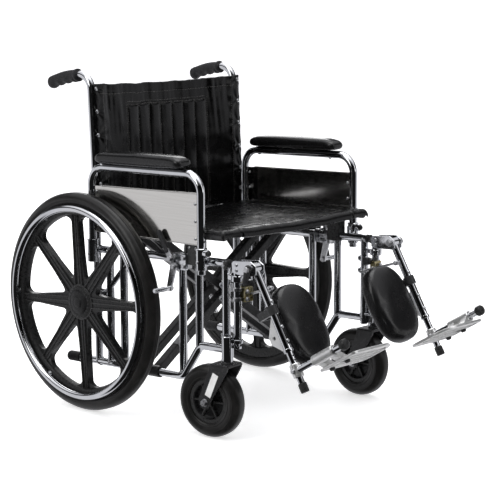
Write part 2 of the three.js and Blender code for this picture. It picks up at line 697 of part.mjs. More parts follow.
function footplate() {
  const x = frameX;
  const { jointS, topS, bottomS, inner, outer, rearT, frontT } = PLATE;
  const outline = new THREE.Shape();
  outline.moveTo(inner + 26, rearT);
  outline.lineTo(outer, rearT);
  outline.lineTo(outer, frontT - 14);
  outline.quadraticCurveTo(outer, frontT, outer - 14, frontT);
  outline.lineTo(inner + 62, frontT);
  outline.quadraticCurveTo(inner + 8, frontT - 6, inner, frontT - 50);
  outline.lineTo(inner, rearT + 26);
  outline.quadraticCurveTo(inner, rearT, inner + 26, rearT);
  const plate = new THREE.ExtrudeGeometry(outline, {
    depth: bottomS - topS,
    bevelEnabled: false,
    curveSegments: 5,
  });
  // the outline's second axis is forward, and its thickness runs down the leg
  plate.applyMatrix4(new THREE.Matrix4().makeBasis(vec(1, 0, 0), vec(0, -1, 0), vec(0, 0, -1)));
  plate.translate(0, 0, -topS);
  const clampFrom = rearT + 12;
  const clampTo = rearT + 84;
  return joinAndCut(
    [
      plate,
      rod(legPoint(x, clampFrom, jointS), legPoint(x, clampTo, jointS), 14, 12),
      block(vec(outer - 34, -clampTo, -bottomS), vec(x + 6, -clampFrom, -jointS - 4)),
    ],
    [rod(legPoint(x, clampFrom - 5, jointS), legPoint(x, clampTo + 5, jointS), LEG.footTube + 0.9, 12)],
  );
}

function calfPad() {
  const { width, length, thickness } = CALF;
  const bevel = 9;
  const outline = roundedRectangle(
    -width / 2 + bevel,
    -length / 2 + bevel,
    width / 2 - bevel,
    length / 2 - bevel,
    width / 2 - bevel - 2,
  );
  const geometry = new THREE.ExtrudeGeometry(outline, {
    depth: thickness - 2 * bevel,
    bevelThickness: bevel,
    bevelSize: bevel,
    bevelSegments: 1,
    curveSegments: 5,
  });
  geometry.translate(0, 0, -thickness / 2 + bevel).rotateX(Math.PI / 2);
  return geometry.translate(CALF.x, -CALF.t, -CALF.s);
}

function calfBracket() {
  const x = frameX;
  const back = CALF.t - CALF.thickness / 2 - FIT_GAP;
  const { s } = CALF;
  return joinAndCut(
    [
      rod(legPoint(x, 0, s - 60), legPoint(x, 0, s - 36), 15.5, 12),
      block(vec(x - 7, 8, -s + 38), vec(x + 7, -back + 9, -s + 58)),
      block(vec(CALF.x - 30, -back + 4, -s + 38), vec(x + 7, -back + 9, -s + 58)),
      block(vec(CALF.x - 38, -back, -s - 32), vec(CALF.x + 22, -back + 5, -s + 60)),
    ],
    [rod(legPoint(x, 0, s - 80), legPoint(x, 0, s - 10), TUBE_RADIUS + 0.9, 12)],
  );
}

// The rod that the ratchet block grips, from its pin on the leg back through the block.
function ratchetRod() {
  const { x, radius, pinS, blockY, blockZ, tail } = RATCHET;
  const pin = vec(x, KNEE.y - pinS * Math.sin(LEG_TILT), KNEE.z - pinS * Math.cos(LEG_TILT));
  const through = vec(x, blockY, blockZ + 1);
  const along = through.clone().sub(pin).normalize();
  const end = through.clone().addScaledVector(along, tail);
  return joinAndCut(
    [rod(pin, end, radius, 8), rod(pin.clone().add(vec(-3, 0, 0)), pin.clone().add(vec(3, 0, 0)), 7, 12)],
    [rod(pin.clone().add(vec(-8, 0, 0)), pin.clone().add(vec(8, 0, 0)), 3.7, 12)],
  );
}

// ---- cross frames ----
// One cross frame: two bars from a sleeve on one lower rail to the seat rail of the other side.
function crossFrame(side, barYs) {
  const run = CROSS.halfAngleRun;
  const half = CROSS.bar / 2;
  const lowAt = (y) => onLower(y, -side * run);
  const highAt = (y) => onSeatRail(y, side * run);
  const bars = barYs.map((y) => {
    const low = lowAt(y);
    const along = highAt(y).sub(low);
    const angle = Math.atan2(along.z, along.x);
    const bar = new THREE.BoxGeometry(along.length(), CROSS.bar, CROSS.bar);
    bar.rotateY(-angle);
    const middle = low.addScaledVector(along, 0.5);
    return bar.translate(middle.x, middle.y, middle.z);
  });
  const sleeveFrom = barYs[0] - half - 5;
  const sleeveTo = barYs[1] + half + 1;
  const webs = barYs.map((y) => {
    const { x, z } = highAt(y);
    return block(vec(x - 7, y - 30, z - 10), vec(x + 7, y + 30, z - 4));
  });
  return joinAndCut(
    [
      ...bars,
      ...webs,
      rod(lowAt(sleeveFrom), lowAt(sleeveTo), 16, 12),
      rod(onSeatRail(SEAT_RAIL.frontY, side * run), onSeatRail(SEAT_RAIL.rearY, side * run), TUBE_RADIUS),
    ],
    [
      rod(lowAt(sleeveFrom - 20), lowAt(sleeveTo + 20), 12, 12),
      crossBolt(CROSS.bolt + 0.6, 40),
    ],
  );
}

const crossCentreZ = (y) => (lowerRailZ(y) + seatRailZ(y)) / 2;

function crossBolt(radius = CROSS.bolt, extra = 0) {
  const from = CROSS.y.a[0] - CROSS.bar / 2 - 9 - extra;
  const to = CROSS.y.b[1] + CROSS.bar / 2 + 9 + extra;
  const at = (y) => vec(0, y, crossCentreZ(y));
  return rod(at(from), at(to), radius, 12);
}

function crossPivotBolt() {
  const first = CROSS.y.a[0] - CROSS.bar / 2 - 0.5;
  const last = CROSS.y.b[1] + CROSS.bar / 2 + 0.5;
  const at = (y) => vec(0, y, crossCentreZ(y));
  return joinAndCut([
    crossBolt(),
    rod(at(first - 7), at(first), 11, 6),
    rod(at(last), at(last + 7), 11, 6),
  ]);
}

// ---- upholstery ----
// A hanging sheet's section: across the chair in x, dipping in the middle.
function slingSection(halfWidth, sag, thickness, steps) {
  const dip = (x) => -sag * (1 - (x / halfWidth) ** 2) ** 1.5;
  const top = [];
  const bottom = [];
  for (let i = 0; i <= steps; i += 1) {
    const x = THREE.MathUtils.lerp(-halfWidth, halfWidth, i / steps);
    top.push(new THREE.Vector2(x, dip(x) + thickness));
    bottom.push(new THREE.Vector2(x, dip(x)));
  }
  return new THREE.Shape([...bottom, ...top.reverse()]);
}

function seatSling() {
  const { thickness, sag, halfWidth, frontY, rearY } = SEAT;
  const section = slingSection(halfWidth, sag, thickness, 12);
  const geometry = new THREE.ExtrudeGeometry(section, {
    depth: (rearY - frontY) / Math.cos(RAIL_SLOPE),
    bevelEnabled: false,
  });
  geometry.rotateX(Math.PI / 2 - RAIL_SLOPE);
  return geometry.translate(0, rearY, seatRailZ(rearY) + TUBE_RADIUS + 1);
}

function backSling() {
  const { thickness, sag, halfWidth, bottomZ, topZ } = BACK;
  const section = slingSection(halfWidth, sag, thickness, 12);
  const lean = Math.atan2(CANE.topY - CANE.footY - 2, CANE.bendZ - 640);
  const geometry = new THREE.ExtrudeGeometry(section, {
    depth: (topZ - bottomZ) / Math.cos(lean),
    bevelEnabled: false,
  });
  // the section's dip goes towards the rear, and its length runs up the canes
  geometry.applyMatrix4(new THREE.Matrix4().makeBasis(vec(-1, 0, 0), vec(0, -1, 0), vec(0, 0, 1)));
  geometry.rotateX(-lean);
  const caneY = CANE.footY + 2 + (bottomZ - 640) * Math.tan(lean);
  return geometry.translate(0, caneY - TUBE_RADIUS - 1.5, bottomZ);
}

// ---- assembly ----
// Everything on one side of the chair, built on the left and mirrored for the right.
function buildSide(name) {
  const side = new THREE.Group();
  const add = (group, piece, geometry, finish) => group.add(named(`${name}_${piece}`, geometry, finish));

  add(side, "side_frame", sideFrame(), "chrome");
  add(side, "push_grip", pushGrip(), "rubber");
  add(side, "tipping_lever_tip", tippingLeverTip(), "rubber");
  add(side, "seat_guide", seatGuide(), "blackPlastic");
  add(side, "wheel_axle", wheelAxle(), "zinc");

  const wheel = new THREE.Group();
  wheel.position.set(WHEEL.x, AXLE.y, AXLE.z);
  add(wheel, "wheel_mag", wheelMag(), "blackPlastic");
  add(wheel, "wheel_tyre", wheelTyre(), "rubber");
  add(wheel, "handrim", handrim(), "chrome");
  add(wheel, "hub_cap", hubCap(), "blackPlastic");
  side.add(wheel);

  const caster = new THREE.Group();
  caster.position.set(CASTER.x, CASTER.stemY, 0);
  if (name === "right") caster.rotation.z = RIGHT_CASTER_SWIVEL;
  add(caster, "caster_fork", casterFork(), "blackPaint");
  const casterRoller = new THREE.Group();
  casterRoller.position.set(0, CASTER.trail, CASTER.radius);
  add(casterRoller, "caster_wheel", casterWheel(), "blackPlastic");
  add(casterRoller, "caster_tyre", casterTyre(), "rubber");
  caster.add(casterRoller);
  side.add(caster);

  add(side, "arm_frame", armFrame(), "chrome");
  add(side, "arm_panel", armPanel(), "panel");
  add(side, "arm_pad", armPad(), "vinyl");
  add(side, "arm_latch", armLatch(), "blackPlastic");

  add(side, "brake_clamp", brakeClamp(), "zinc");
  add(side, "brake_lever", brakeLever(), "rubber");
  add(side, "brake_shoe", brakeShoe(), "zinc");

  add(side, "legrest_hanger", hanger(), "chrome");
  add(side, "legrest_release", releaseHandle(), "rubber");
  add(side, "ratchet_rod", ratchetRod(), "zinc");
  const leg = new THREE.Group();
  leg.position.set(0, KNEE.y, KNEE.z);
  leg.rotation.x = -LEG_TILT;
  add(leg, "leg_tube", legTube(), "chrome");
  add(leg, "foot_tube", footTube(), "chrome");
  add(leg, "footplate", footplate(), "aluminium");
  add(leg, "calf_pad", calfPad(), "vinyl");
  add(leg, "calf_bracket", calfBracket(), "blackPaint");
  side.add(leg);
  return side;
}

function buildWheelchair() {
  const chair = new THREE.Group();
  const left = buildSide("left");
  const right = buildSide("right");
  right.scale.x = -1;
  chair.add(left, right);

  chair.add(named("cross_frame_a", crossFrame(1, CROSS.y.a), "blackPaint"));
  chair.add(named("cross_frame_b", crossFrame(-1, CROSS.y.b), "blackPaint"));
  chair.add(named("cross_pivot_bolt", crossPivotBolt(), "zinc"));
  chair.add(named("seat_sling", seatSling(), "vinyl"));
  chair.add(named("back_sling", backSling(), "vinyl"));

  // the origin is midway between the rearmost point of the tyres and the toe of the footplates
  const rearmost = AXLE.y + WHEEL.radius;
  const toe =
    KNEE.y - PLATE.bottomS * Math.sin(LEG_TILT) - PLATE.frontT * Math.cos(LEG_TILT);
  chair.position.y = -(rearmost + toe) / 2;
  return chair;
}

export default buildWheelchair();
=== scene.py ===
import math

import bmesh
import bpy
from mathutils import Matrix, Vector, noise
from mathutils.geometry import tessellate_polygon


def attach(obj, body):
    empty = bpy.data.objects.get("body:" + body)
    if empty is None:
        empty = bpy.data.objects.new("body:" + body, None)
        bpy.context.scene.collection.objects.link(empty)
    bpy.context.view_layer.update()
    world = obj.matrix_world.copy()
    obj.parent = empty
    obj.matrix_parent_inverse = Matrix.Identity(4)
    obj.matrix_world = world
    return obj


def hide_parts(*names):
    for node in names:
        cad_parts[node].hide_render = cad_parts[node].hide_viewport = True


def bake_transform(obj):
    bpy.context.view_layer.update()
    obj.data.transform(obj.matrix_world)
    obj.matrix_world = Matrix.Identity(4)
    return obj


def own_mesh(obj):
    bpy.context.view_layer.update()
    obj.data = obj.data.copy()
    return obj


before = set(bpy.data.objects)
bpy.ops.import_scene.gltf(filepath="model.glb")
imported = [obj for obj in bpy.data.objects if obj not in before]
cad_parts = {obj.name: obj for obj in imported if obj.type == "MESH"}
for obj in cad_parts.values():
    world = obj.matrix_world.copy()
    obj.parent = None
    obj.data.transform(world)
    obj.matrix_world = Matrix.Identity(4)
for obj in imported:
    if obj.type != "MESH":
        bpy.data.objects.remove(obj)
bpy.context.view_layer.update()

MM = 0.001
SIDES = ("left", "right")
TAU = 2 * math.pi
X, Y, Z = Vector((1, 0, 0)), Vector((0, 1, 0)), Vector((0, 0, 1))

# ---- driving dimensions, the same as the CAD's ----
TILT = math.radians(30.5)
SLOPE = math.radians(2)
FRAME_X = 280
TUBE = 11
AXLE_Y, AXLE_Z = 311, 305
AXLE_AT = Vector((0, AXLE_Y, AXLE_Z))
WHEEL_X, WHEEL_R, RIM_R = 348.6, 305, 275
SPOKE_PHASE = math.radians(-4)
HANDRIM_X, HANDRIM_R, HANDRIM_TUBE = 376, 263, 9.5
CASTER_X, STEM_Y, TRAIL, CASTER_R = 298, -203, 50, 97.5
KNEE_Y, KNEE_Z = -286, 462
ARM_X, ARM_FRONT, ARM_REAR = 306, -118, 311
ARM_REAR_Z, ARM_RISE = 680, 11
LATCH_AT = Vector((ARM_X, ARM_FRONT - 15, 486))
LEG_LENGTH, FOOT_LENGTH = 313, 190  # knee to the footplate's underside, and the plate's reach forward
FOOT_DOWN, CALF_DOWN = 283, 166  # the foot's pivot tube and the calf pad, down the leg from the knee
FRONT_Y, CANE_FOOT = -183, 322  # the front upright, and the foot of the back cane
LEVER_REAR, GRIP_REAR = 442, 498
CANE_BEND, CANE_TOP = Vector((FRAME_X, 324, 640)), Vector((FRAME_X, 338, 936))
HANGER_Y = -224
TOE_Y = KNEE_Y - LEG_LENGTH * math.sin(TILT) - FOOT_LENGTH * math.cos(TILT)
SHIFT = -(AXLE_Y + WHEEL_R + TOE_Y) / 2  # from the CAD source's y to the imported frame's


def lower_z(y):
    return 130 + (140 - y) * math.tan(SLOPE)


def upper_z(y):
    return 453 + (100 - y) * math.tan(SLOPE)


def seat_z(y):
    return 519 + (140 - y) * math.tan(SLOPE)


def cane_y(z):
    lean = (CANE_TOP.y - CANE_BEND.y) / (CANE_TOP.z - CANE_BEND.z)
    return CANE_BEND.y + max(0, z - CANE_BEND.z) * lean


def arm_z(y):
    return ARM_REAR_Z + (ARM_REAR - y) / (ARM_REAR - ARM_FRONT) * ARM_RISE


def lower(y, x=FRAME_X):
    return Vector((x, y, lower_z(y)))


def upper(y):
    return Vector((FRAME_X, y, upper_z(y)))


def seat_rail(y, x):
    return Vector((x, y, seat_z(y)))


GRIP_DIR = Vector((0, 166, -31)).normalized()


def on_grip(y):
    return CANE_TOP + GRIP_DIR * ((y - CANE_TOP.y) / GRIP_DIR.y)


def row(x, y, z):
    """A point of the source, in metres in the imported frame."""
    return Vector((x * MM, (y + SHIFT) * MM, z * MM))


LEG = Matrix.Translation((0, KNEE_Y, KNEE_Z)) @ Matrix.Rotation(-TILT, 4, "X")


def leg(mesh):
    """Moves a mesh given as (x, -forward, -down) from the knee onto the tilted leg."""
    return [LEG @ v for v in mesh[0]], mesh[1]


def leg_point(x, forward, down):
    return Vector((x, -forward, -down))


# ---- meshes: each is (points, faces), in millimetres ----
def bent(corners, radius):
    """Straight runs joined by round bends, with a point every 4 degrees."""
    corners = [Vector(c) for c in corners]
    path = [corners[0]]
    for a, b, c in zip(corners, corners[1:], corners[2:]):
        back, on = (a - b).normalized(), (c - b).normalized()
        turn = math.pi - back.angle(on)
        if turn < 0.02:
            path.append(b)
            continue
        cut = radius * math.tan(turn / 2)
        centre = b + (back + on).normalized() * (radius / math.cos(turn / 2))
        start, end = b + back * cut - centre, b + on * cut - centre
        count = max(2, math.ceil(math.degrees(turn) / 4))
        path += [centre + start.slerp(end, i / count) * radius for i in range(count + 1)]
    return path + [corners[-1]]


def skin(rings, around, closed=False):
    """The faces over a stack of equal rings of points, with a cap on each end of an open one."""
    faces = []
    for i in range(rings if closed else rings - 1):
        a, b = i * around, (i + 1) % rings * around
        for k in range(around):
            m = (k + 1) % around
            faces.append([a + k, a + m, b + m, b + k])
    if not closed:
        last = (rings - 1) * around
        faces += [list(range(around)), [last + k for k in range(around)]]
    return faces


def sweep(path, radius, sides, edge=0.8, closed=False):
    """A round bar along a path; radius is one number, or one for each point."""
    path = [Vector(p) for p in path]
    radii = list(radius) if hasattr(radius, "__len__") else [radius] * len(path)
    if not closed and edge:
        first, last = (path[1] - path[0]).normalized(), (path[-1] - path[-2]).normalized()
        path = [path[0], path[0] + first * edge, *path[1:-1], path[-1] - last * edge, path[-1]]
        radii = [radii[0] - edge, radii[0], *radii[1:-1], radii[-1], radii[-1] - edge]
    count = len(path)
    tangents = []
    for i in range(count):
        before = path[(i - 1) % count] if closed or i else path[0]
        after = path[(i + 1) % count] if closed or i < count - 1 else path[-1]
        tangents.append((after - before).normalized())
    normal = tangents[0].orthogonal().normalized()
    points = []
    for i, (p, t, r) in enumerate(zip(path, tangents, radii)):
        if i:
            normal = tangents[i - 1].rotation_difference(t) @ normal
        side = t.cross(normal)
        for k in range(sides):
            a = TAU * k / sides
            points.append(p + (normal * math.cos(a) + side * math.sin(a)) * r)
    faces = skin(count, sides, closed)
    if not closed:
        faces[-2].reverse()  # the first cap looks back along the path
    return points, faces


def bar(start, end, radius, sides, edge=0.8):
    return sweep([start, end], radius, sides, edge)


def lathe(profile, at, axis, segments, closed=False):
    """A turned shape: its profile is (radius, height along the axis) points."""
    axis = Vector(axis).normalized()
    u = axis.orthogonal().normalized()
    v = axis.cross(u)
    at = Vector(at)
    points, faces, rings = [], [], []
    for r, h in profile:
        if r < 1e-6:
            rings.append([len(points)])
            points.append(at + axis * h)
        else:
            rings.append(range(len(points), len(points) + segments))
            for k in range(segments):
                a = TAU * k / segments
                points.append(at + axis * h + (u * math.cos(a) + v * math.sin(a)) * r)
    pairs = list(zip(rings, rings[1:])) + ([(rings[-1], rings[0])] if closed else [])
    for a, b in pairs:
        if len(a) == len(b) == 1:
            continue
        for k in range(segments):
            m = (k + 1) % segments
            if len(a) == 1:
                faces.append([a[0], b[m], b[k]])
            elif len(b) == 1:
                faces.append([a[k], a[m], b[0]])
            else:
                faces.append([a[k], a[m], b[m], b[k]])
    return points, faces


def prism(outline, low, high, basis=(X, Y, Z), origin=(0, 0, 0), bevel=1.0, holes=()):
    """A flat outline given a thickness along the basis's third axis, with its edges rounded."""
    u, v, w = basis
    loops = [outline, *holes]
    flat = [Vector((a, b, 0)) for loop in loops for a, b in loop]
    bm = bmesh.new()
    ends = []
    for height in (low, high):
        ends.append([bm.verts.new((p.x, p.y, height)) for p in flat])
    if holes:
        caps = tessellate_polygon([[Vector((a, b, 0)) for a, b in loop] for loop in loops])
    else:
        caps = [range(len(flat))]
    for end in ends:
        for cap in caps:
            bm.faces.new([end[i] for i in cap])
    first = 0
    for loop in loops:
        for i in range(len(loop)):
            a, b = first + i, first + (i + 1) % len(loop)
            bm.faces.new([ends[0][a], ends[0][b], ends[1][b], ends[1][a]])
        first += len(loop)
    bmesh.ops.recalc_face_normals(bm, faces=bm.faces)
    if bevel:
        sharp = [e for e in bm.edges if e.calc_face_angle(0) > 0.45]
        bmesh.ops.bevel(
            bm, geom=sharp, offset=bevel, segments=2, profile=0.5, affect="EDGES", clamp_overlap=True
        )
    origin = Vector(origin)
    bm.verts.index_update()
    points = [origin + u * p.co.x + v * p.co.y + w * p.co.z for p in bm.verts]
    faces = [[p.index for p in f.verts] for f in bm.faces]
    bm.free()
    return points, faces


def collar(inner, outer, low, high, at, axis, cut=1.0, segments=36, rise=1.0):
    """A short tube with its outer edges cut back by cut across and rise along."""
    profile = [(inner, low), (outer - cut, low), (outer, low + rise)]
    profile += [(outer, high - rise), (outer - cut, high), (inner, high)]
    return lathe(profile, at, axis, segments, closed=True)


SIDE_PLANE = (Y, Z, X)  # outlines in (y, z), thickness along x
LEG_SIDE = (-Y, -Z, X)  # outlines in (forward, down), thickness along x
LEG_FLAT = (X, -Y, -Z)  # outlines in (x, forward), thickness down the leg


def box(low, high, bevel):
    outline = [(low[0], low[1]), (high[0], low[1]), (high[0], high[1]), (low[0], high[1])]
    return prism(outline, low[2], high[2], bevel=bevel)


def rounded(left, bottom, right, top, radius, steps=5):
    """A rectangle with round corners."""
    corners = ((right, top, 0), (left, top, 90), (left, bottom, 180), (right, bottom, 270))
    outline = []
    for cx, cy, start in corners:
        x = cx - radius if cx == right else cx + radius
        y = cy - radius if cy == top else cy + radius
        for i in range(steps + 1):
            a = math.radians(start + 90 * i / steps)
            outline.append((x + radius * math.cos(a), y + radius * math.sin(a)))
    return outline


def curve(start, corner, end, shares):
    """A rounded corner of a flat outline, with a point at each share of its way."""
    path = []
    for t in shares:
        v = start * (1 - t) ** 2 + corner * 2 * t * (1 - t) + end * t * t
        path.append((v.x, v.y))
    return path


def circle(cx, cy, radius, count):
    return [
        (cx + radius * math.cos(TAU * i / count), cy + radius * math.sin(TAU * i / count))
        for i in range(count)
    ]


def washer(at, axis, radius, thickness):
    half = [(0, 0), (radius - 0.3, 0), (radius, 0.3), (radius, thickness - 0.3)]
    return lathe([*half, (radius - 0.3, thickness), (0, thickness)], at, axis, 24)


def screw(at, axis, radius):
    """A round-headed screw with a socket."""
    r, h = radius, radius * 0.6
    profile = [
        (0, h * 0.45), (r * 0.34, h * 0.5), (r * 0.4, h), (r * 0.62, h * 0.97), (r * 0.86, h * 0.72),
        (r, h * 0.3), (r, -0.5), (0, -0.5),
    ]
    return lathe(profile, at, axis, 20)


def hex_bolt(at, axis, radius, height):
    """A hexagon head or nut on its washer."""
    axis = Vector(axis).normalized()
    u = axis.orthogonal().normalized()
    head = prism(circle(0, 0, radius, 6), 1.2, height, (u, axis.cross(u), axis), at, 0.7)
    return merged(head, washer(at, axis, radius * 1.25, 1.3))


def merged(*meshes):
    points, faces = [], []
    for mesh_points, mesh_faces in meshes:
        base = len(points)
        points += mesh_points
        faces += [[base + i for i in f] for f in mesh_faces]
    return points, faces


def saddle_bead(at, branch, main, radius=TUBE, main_radius=TUBE, bead=1.9):
    """The weld where a branch tube runs into a main tube: it follows the joint's own curve."""
    branch, main = Vector(branch).normalized(), Vector(main).normalized()
    across = branch.cross(main).normalized()
    path = []
    for i in range(28):
        a = TAU * i / 28
        off = radius * math.cos(a)
        rise = math.sqrt(max(0, main_radius**2 - off**2))
        path.append(Vector(at) + across * off + main * radius * math.sin(a) + branch * rise)
    return sweep(path, bead, 8, closed=True)


# ---- pieces: meshes with their finishes, put on a body ----
class Piece:
    def __init__(self, *finishes):
        self.finishes = finishes
        self.points, self.faces, self.indices = [], [], []

    def add(self, mesh, finish=None):
        base = len(self.points)
        self.points += [Vector(p) for p in mesh[0]]
        self.faces += [[base + i for i in f] for f in mesh[1]]
        index = self.finishes.index(finish) if finish else 0
        self.indices += [index] * len(mesh[1])
        return self

    def object(self, name, flip=1):
        mesh = bpy.data.meshes.new(name)
        points = [((flip * p.x) * MM, (p.y + SHIFT) * MM, p.z * MM) for p in self.points]
        mesh.from_pydata(points, [], self.faces)
        for finish in self.finishes:
            mesh.materials.append(MATERIALS[finish])
        mesh.polygons.foreach_set("material_index", self.indices)
        bm = bmesh.new()
        bm.from_mesh(mesh)
        bmesh.ops.recalc_face_normals(bm, faces=bm.faces)
        bm.to_mesh(mesh)
        bm.free()
        mesh.polygons.foreach_set("use_smooth", [True] * len(mesh.polygons))
        mesh.set_sharp_from_angle(angle=math.radians(32))
        obj = bpy.data.objects.new(name, mesh)
        bpy.context.scene.collection.objects.link(obj)
        even = obj.modifiers.new("even", "WEIGHTED_NORMAL")
        even.keep_sharp = True
        applied(obj)
        return obj

    def place(self, name, body, slot, nodes, flip=1):
        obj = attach(self.object(name, flip), body)
        if nodes:
            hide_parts(*nodes)
        return obj

    def place_pair(self, name, body, slot, nodes):
        """The piece on the left of the chair, and its mirror image on the right."""
        return [
            self.place(f"{side}_{name}", f"{side}_{body}", slot, [f"{side}_{n}" for n in nodes], flip)
            for side, flip in zip(SIDES, (1, -1))
        ]


# ---- finishes ----
MATERIALS = {}


def colour_sockets(sockets):
    """The colour ones among a mix node's inputs or outputs."""
    return [s for s in sockets if s.type == "RGBA"]


class Shader:
    """One procedural material: the chair's own coordinates drive its colour, roughness and bump."""

    def __init__(self, name, roughness, metallic=0.0, **fixed):
        self.material = bpy.data.materials.new(name)
        self.material.use_nodes = True
        self.tree = self.material.node_tree
        self.bsdf = self.tree.nodes["Principled BSDF"]
        self.place = self.node("ShaderNodeTexCoord").outputs["Object"]
        self.bsdf.inputs["Roughness"].default_value = roughness
        self.bsdf.inputs["Metallic"].default_value = metallic
        for socket, value in fixed.items():
            self.bsdf.inputs[socket.replace("_", " ")].default_value = value
        MATERIALS[name] = self.material

    def node(self, kind, **settings):
        node = self.tree.nodes.new(kind)
        for key, value in settings.items():
            setattr(node, key, value)
        return node

    def link(self, a, b):
        self.tree.links.new(a, b)

    def stretched(self, scale):
        mapping = self.node("ShaderNodeMapping")
        mapping.inputs["Scale"].default_value = scale
        self.link(self.place, mapping.inputs["Vector"])
        return mapping.outputs["Vector"]

    def noise(self, scale, detail=4, stretch=None, rough=0.5):
        n = self.node("ShaderNodeTexNoise")
        n.inputs["Scale"].default_value = scale
        n.inputs["Detail"].default_value = detail
        n.inputs["Roughness"].default_value = rough
        self.link(self.stretched(stretch) if stretch else self.place, n.inputs["Vector"])
        return n.outputs["Fac"]

    def cells(self, scale):
        n = self.node("ShaderNodeTexVoronoi")
        n.inputs["Scale"].default_value = scale
        self.link(self.place, n.inputs["Vector"])
        return n.outputs["Distance"]

    def edges(self):
        return self.node("ShaderNodeNewGeometry").outputs["Pointiness"]

    def ramp(self, value, stops):
        n = self.node("ShaderNodeValToRGB")
        ramp = n.color_ramp
        while len(ramp.elements) < len(stops):
            ramp.elements.new(0.5)
        for element, (at, colour) in zip(ramp.elements, stops):
            element.position = at
            element.color = (*(colour if hasattr(colour, "__len__") else (colour,) * 3), 1)
        self.link(value, n.inputs["Fac"])
        return n.outputs["Color"]

    def mix(self, share, a, b):
        """From the output a to the plain colour b."""
        n = self.node("ShaderNodeMix", data_type="RGBA")
        self.link(share, n.inputs["Factor"])
        first, second = colour_sockets(n.inputs)
        self.link(a, first)
        second.default_value = (*b, 1)
        return colour_sockets(n.outputs)[0]

    def colour(self, output):
        self.link(output, self.bsdf.inputs["Base Color"])

    def rough(self, value, low, high):
        n = self.node("ShaderNodeMapRange")
        for key, number in (("From Min", 0.35), ("From Max", 0.65), ("To Min", low), ("To Max", high)):
            n.inputs[key].default_value = number
        self.link(value, n.inputs["Value"])
        self.link(n.outputs["Result"], self.bsdf.inputs["Roughness"])

    def bump(self, value, strength, distance):
        n = self.node("ShaderNodeBump")
        n.inputs["Strength"].default_value = strength
        n.inputs["Distance"].default_value = distance
        self.link(value, n.inputs["Height"])
        self.link(n.outputs["Normal"], self.bsdf.inputs["Normal"])


def finish(name, roughness, metallic, tones, gloss=None, bump=None, over=None, cells=False, **fixed):
    """A finish from (noise, low, high) for its colour and its roughness, and (noise, strength, distance)
    for its bump. over is a share made by a function of the shader, and the colour that it brings in."""
    s = Shader(name, roughness, metallic, **fixed)
    grain, *colours = tones
    places = (0.3, 0.7) if len(colours) == 2 else (0.32, 0.52, 0.7)
    base = s.ramp(s.noise(*grain), list(zip(places, colours)))
    s.colour(s.mix(over[0](s), base, over[1]) if over else base)
    if gloss:
        s.rough(s.noise(*gloss[0]), *gloss[1:])
    if bump:
        s.bump((s.cells if cells else s.noise)(*bump[0]), *bump[1:])


def worn(full):
    """The share of bare material along edges, which is whole at this pointiness."""
    return lambda s: s.ramp(s.edges(), [(0.5, 0.0), (full, 1.0)])


def dust(s):
    return s.ramp(s.noise(22, 7, rough=0.65), [(0.45, 0.0), (0.8, 0.5)])


finish(
    "chrome", 0.06, 1.0, ((9,), (0.66, 0.67, 0.69), (0.79, 0.80, 0.82)),
    ((60, 6), 0.035, 0.11), ((1400, 2, (1, 1, 0.06)), 0.05, 0.0002),
)
finish(
    "zinc", 0.32, 1.0, ((70,), (0.58, 0.585, 0.60), (0.76, 0.765, 0.78)),
    ((240, 5), 0.24, 0.42), ((900, 3), 0.12, 0.0004),
)
finish(
    "yellow_zinc", 0.3, 1.0, ((110, 3), (0.36, 0.29, 0.13), (0.46, 0.41, 0.24), (0.34, 0.34, 0.26)),
    ((300,), 0.22, 0.4), ((900, 3), 0.1, 0.0004),
)
finish(
    "cast_aluminium", 0.34, 0.9, ((45, 5), (0.72, 0.72, 0.71), (0.86, 0.86, 0.85)),
    ((180, 5), 0.28, 0.4), ((900, 3), 0.06, 0.0004),
)
BRUSHED = (260, 5, (1, 0.02, 1))
finish(
    "polished_panel", 0.28, 1.0, (BRUSHED, (0.72, 0.705, 0.67), (0.78, 0.765, 0.73)),
    (BRUSHED, 0.1, 0.15), (BRUSHED, 0.006, 0.0002),
)
finish(
    "black_paint", 0.22, 0.0, ((25, 5), (0.002, 0.002, 0.0022), (0.006, 0.006, 0.0065)),
    ((90,), 0.17, 0.3), ((420, 2), 0.1, 0.0004), (worn(0.56), (0.03, 0.03, 0.031)),
    Specular_IOR_Level=0.15, Coat_Weight=0.14, Coat_Roughness=0.08,
)
finish(
    "black_plastic", 0.4, 0.0, ((30, 5), (0.003, 0.003, 0.0032), (0.007, 0.007, 0.0074)),
    ((120, 4), 0.24, 0.36), ((1500,), 0.08, 0.0003), (worn(0.58), (0.028, 0.028, 0.028)),
    cells=True, Specular_IOR_Level=0.24,
)
finish(
    "grip_rubber", 0.5, 0.0, ((160, 5), (0.010, 0.010, 0.011), (0.024, 0.024, 0.026)),
    ((300,), 0.45, 0.65), ((1300,), 0.3, 0.0005), cells=True, Specular_IOR_Level=0.35,
)
finish(
    "tyre", 0.38, 0.0, ((400, 3), (0.005, 0.0048, 0.0046), (0.012, 0.0115, 0.011)),
    ((150, 4), 0.28, 0.4), ((800, 4), 0.12, 0.0005), (dust, (0.03, 0.028, 0.026)),
    Specular_IOR_Level=0.3, Coat_Weight=0.1, Coat_Roughness=0.2,
)
for name, low, high, gloss, shine in (
    ("pad_vinyl", 0.006, 0.008, 0.25, 0.3),
    ("sling_vinyl", 0.0015, 0.0025, 0.27, 0.2),
):
    finish(
        name, gloss, 0.0, ((28, 6), (low, low, low * 1.08), (high, high * 0.98, high)),
        ((40, 3), gloss - 0.02, gloss + 0.03), ((500, 2), 0.012, 0.0003),
        Specular_IOR_Level=shine, Coat_Weight=shine * 0.7, Coat_Roughness=0.16,
    )
finish(
    "thread", 0.7, 0.0, ((1500, 3), (0.035, 0.032, 0.03), (0.09, 0.085, 0.08)),
    bump=((2500, 2), 0.5, 0.0004), Sheen_Weight=0.3,
)
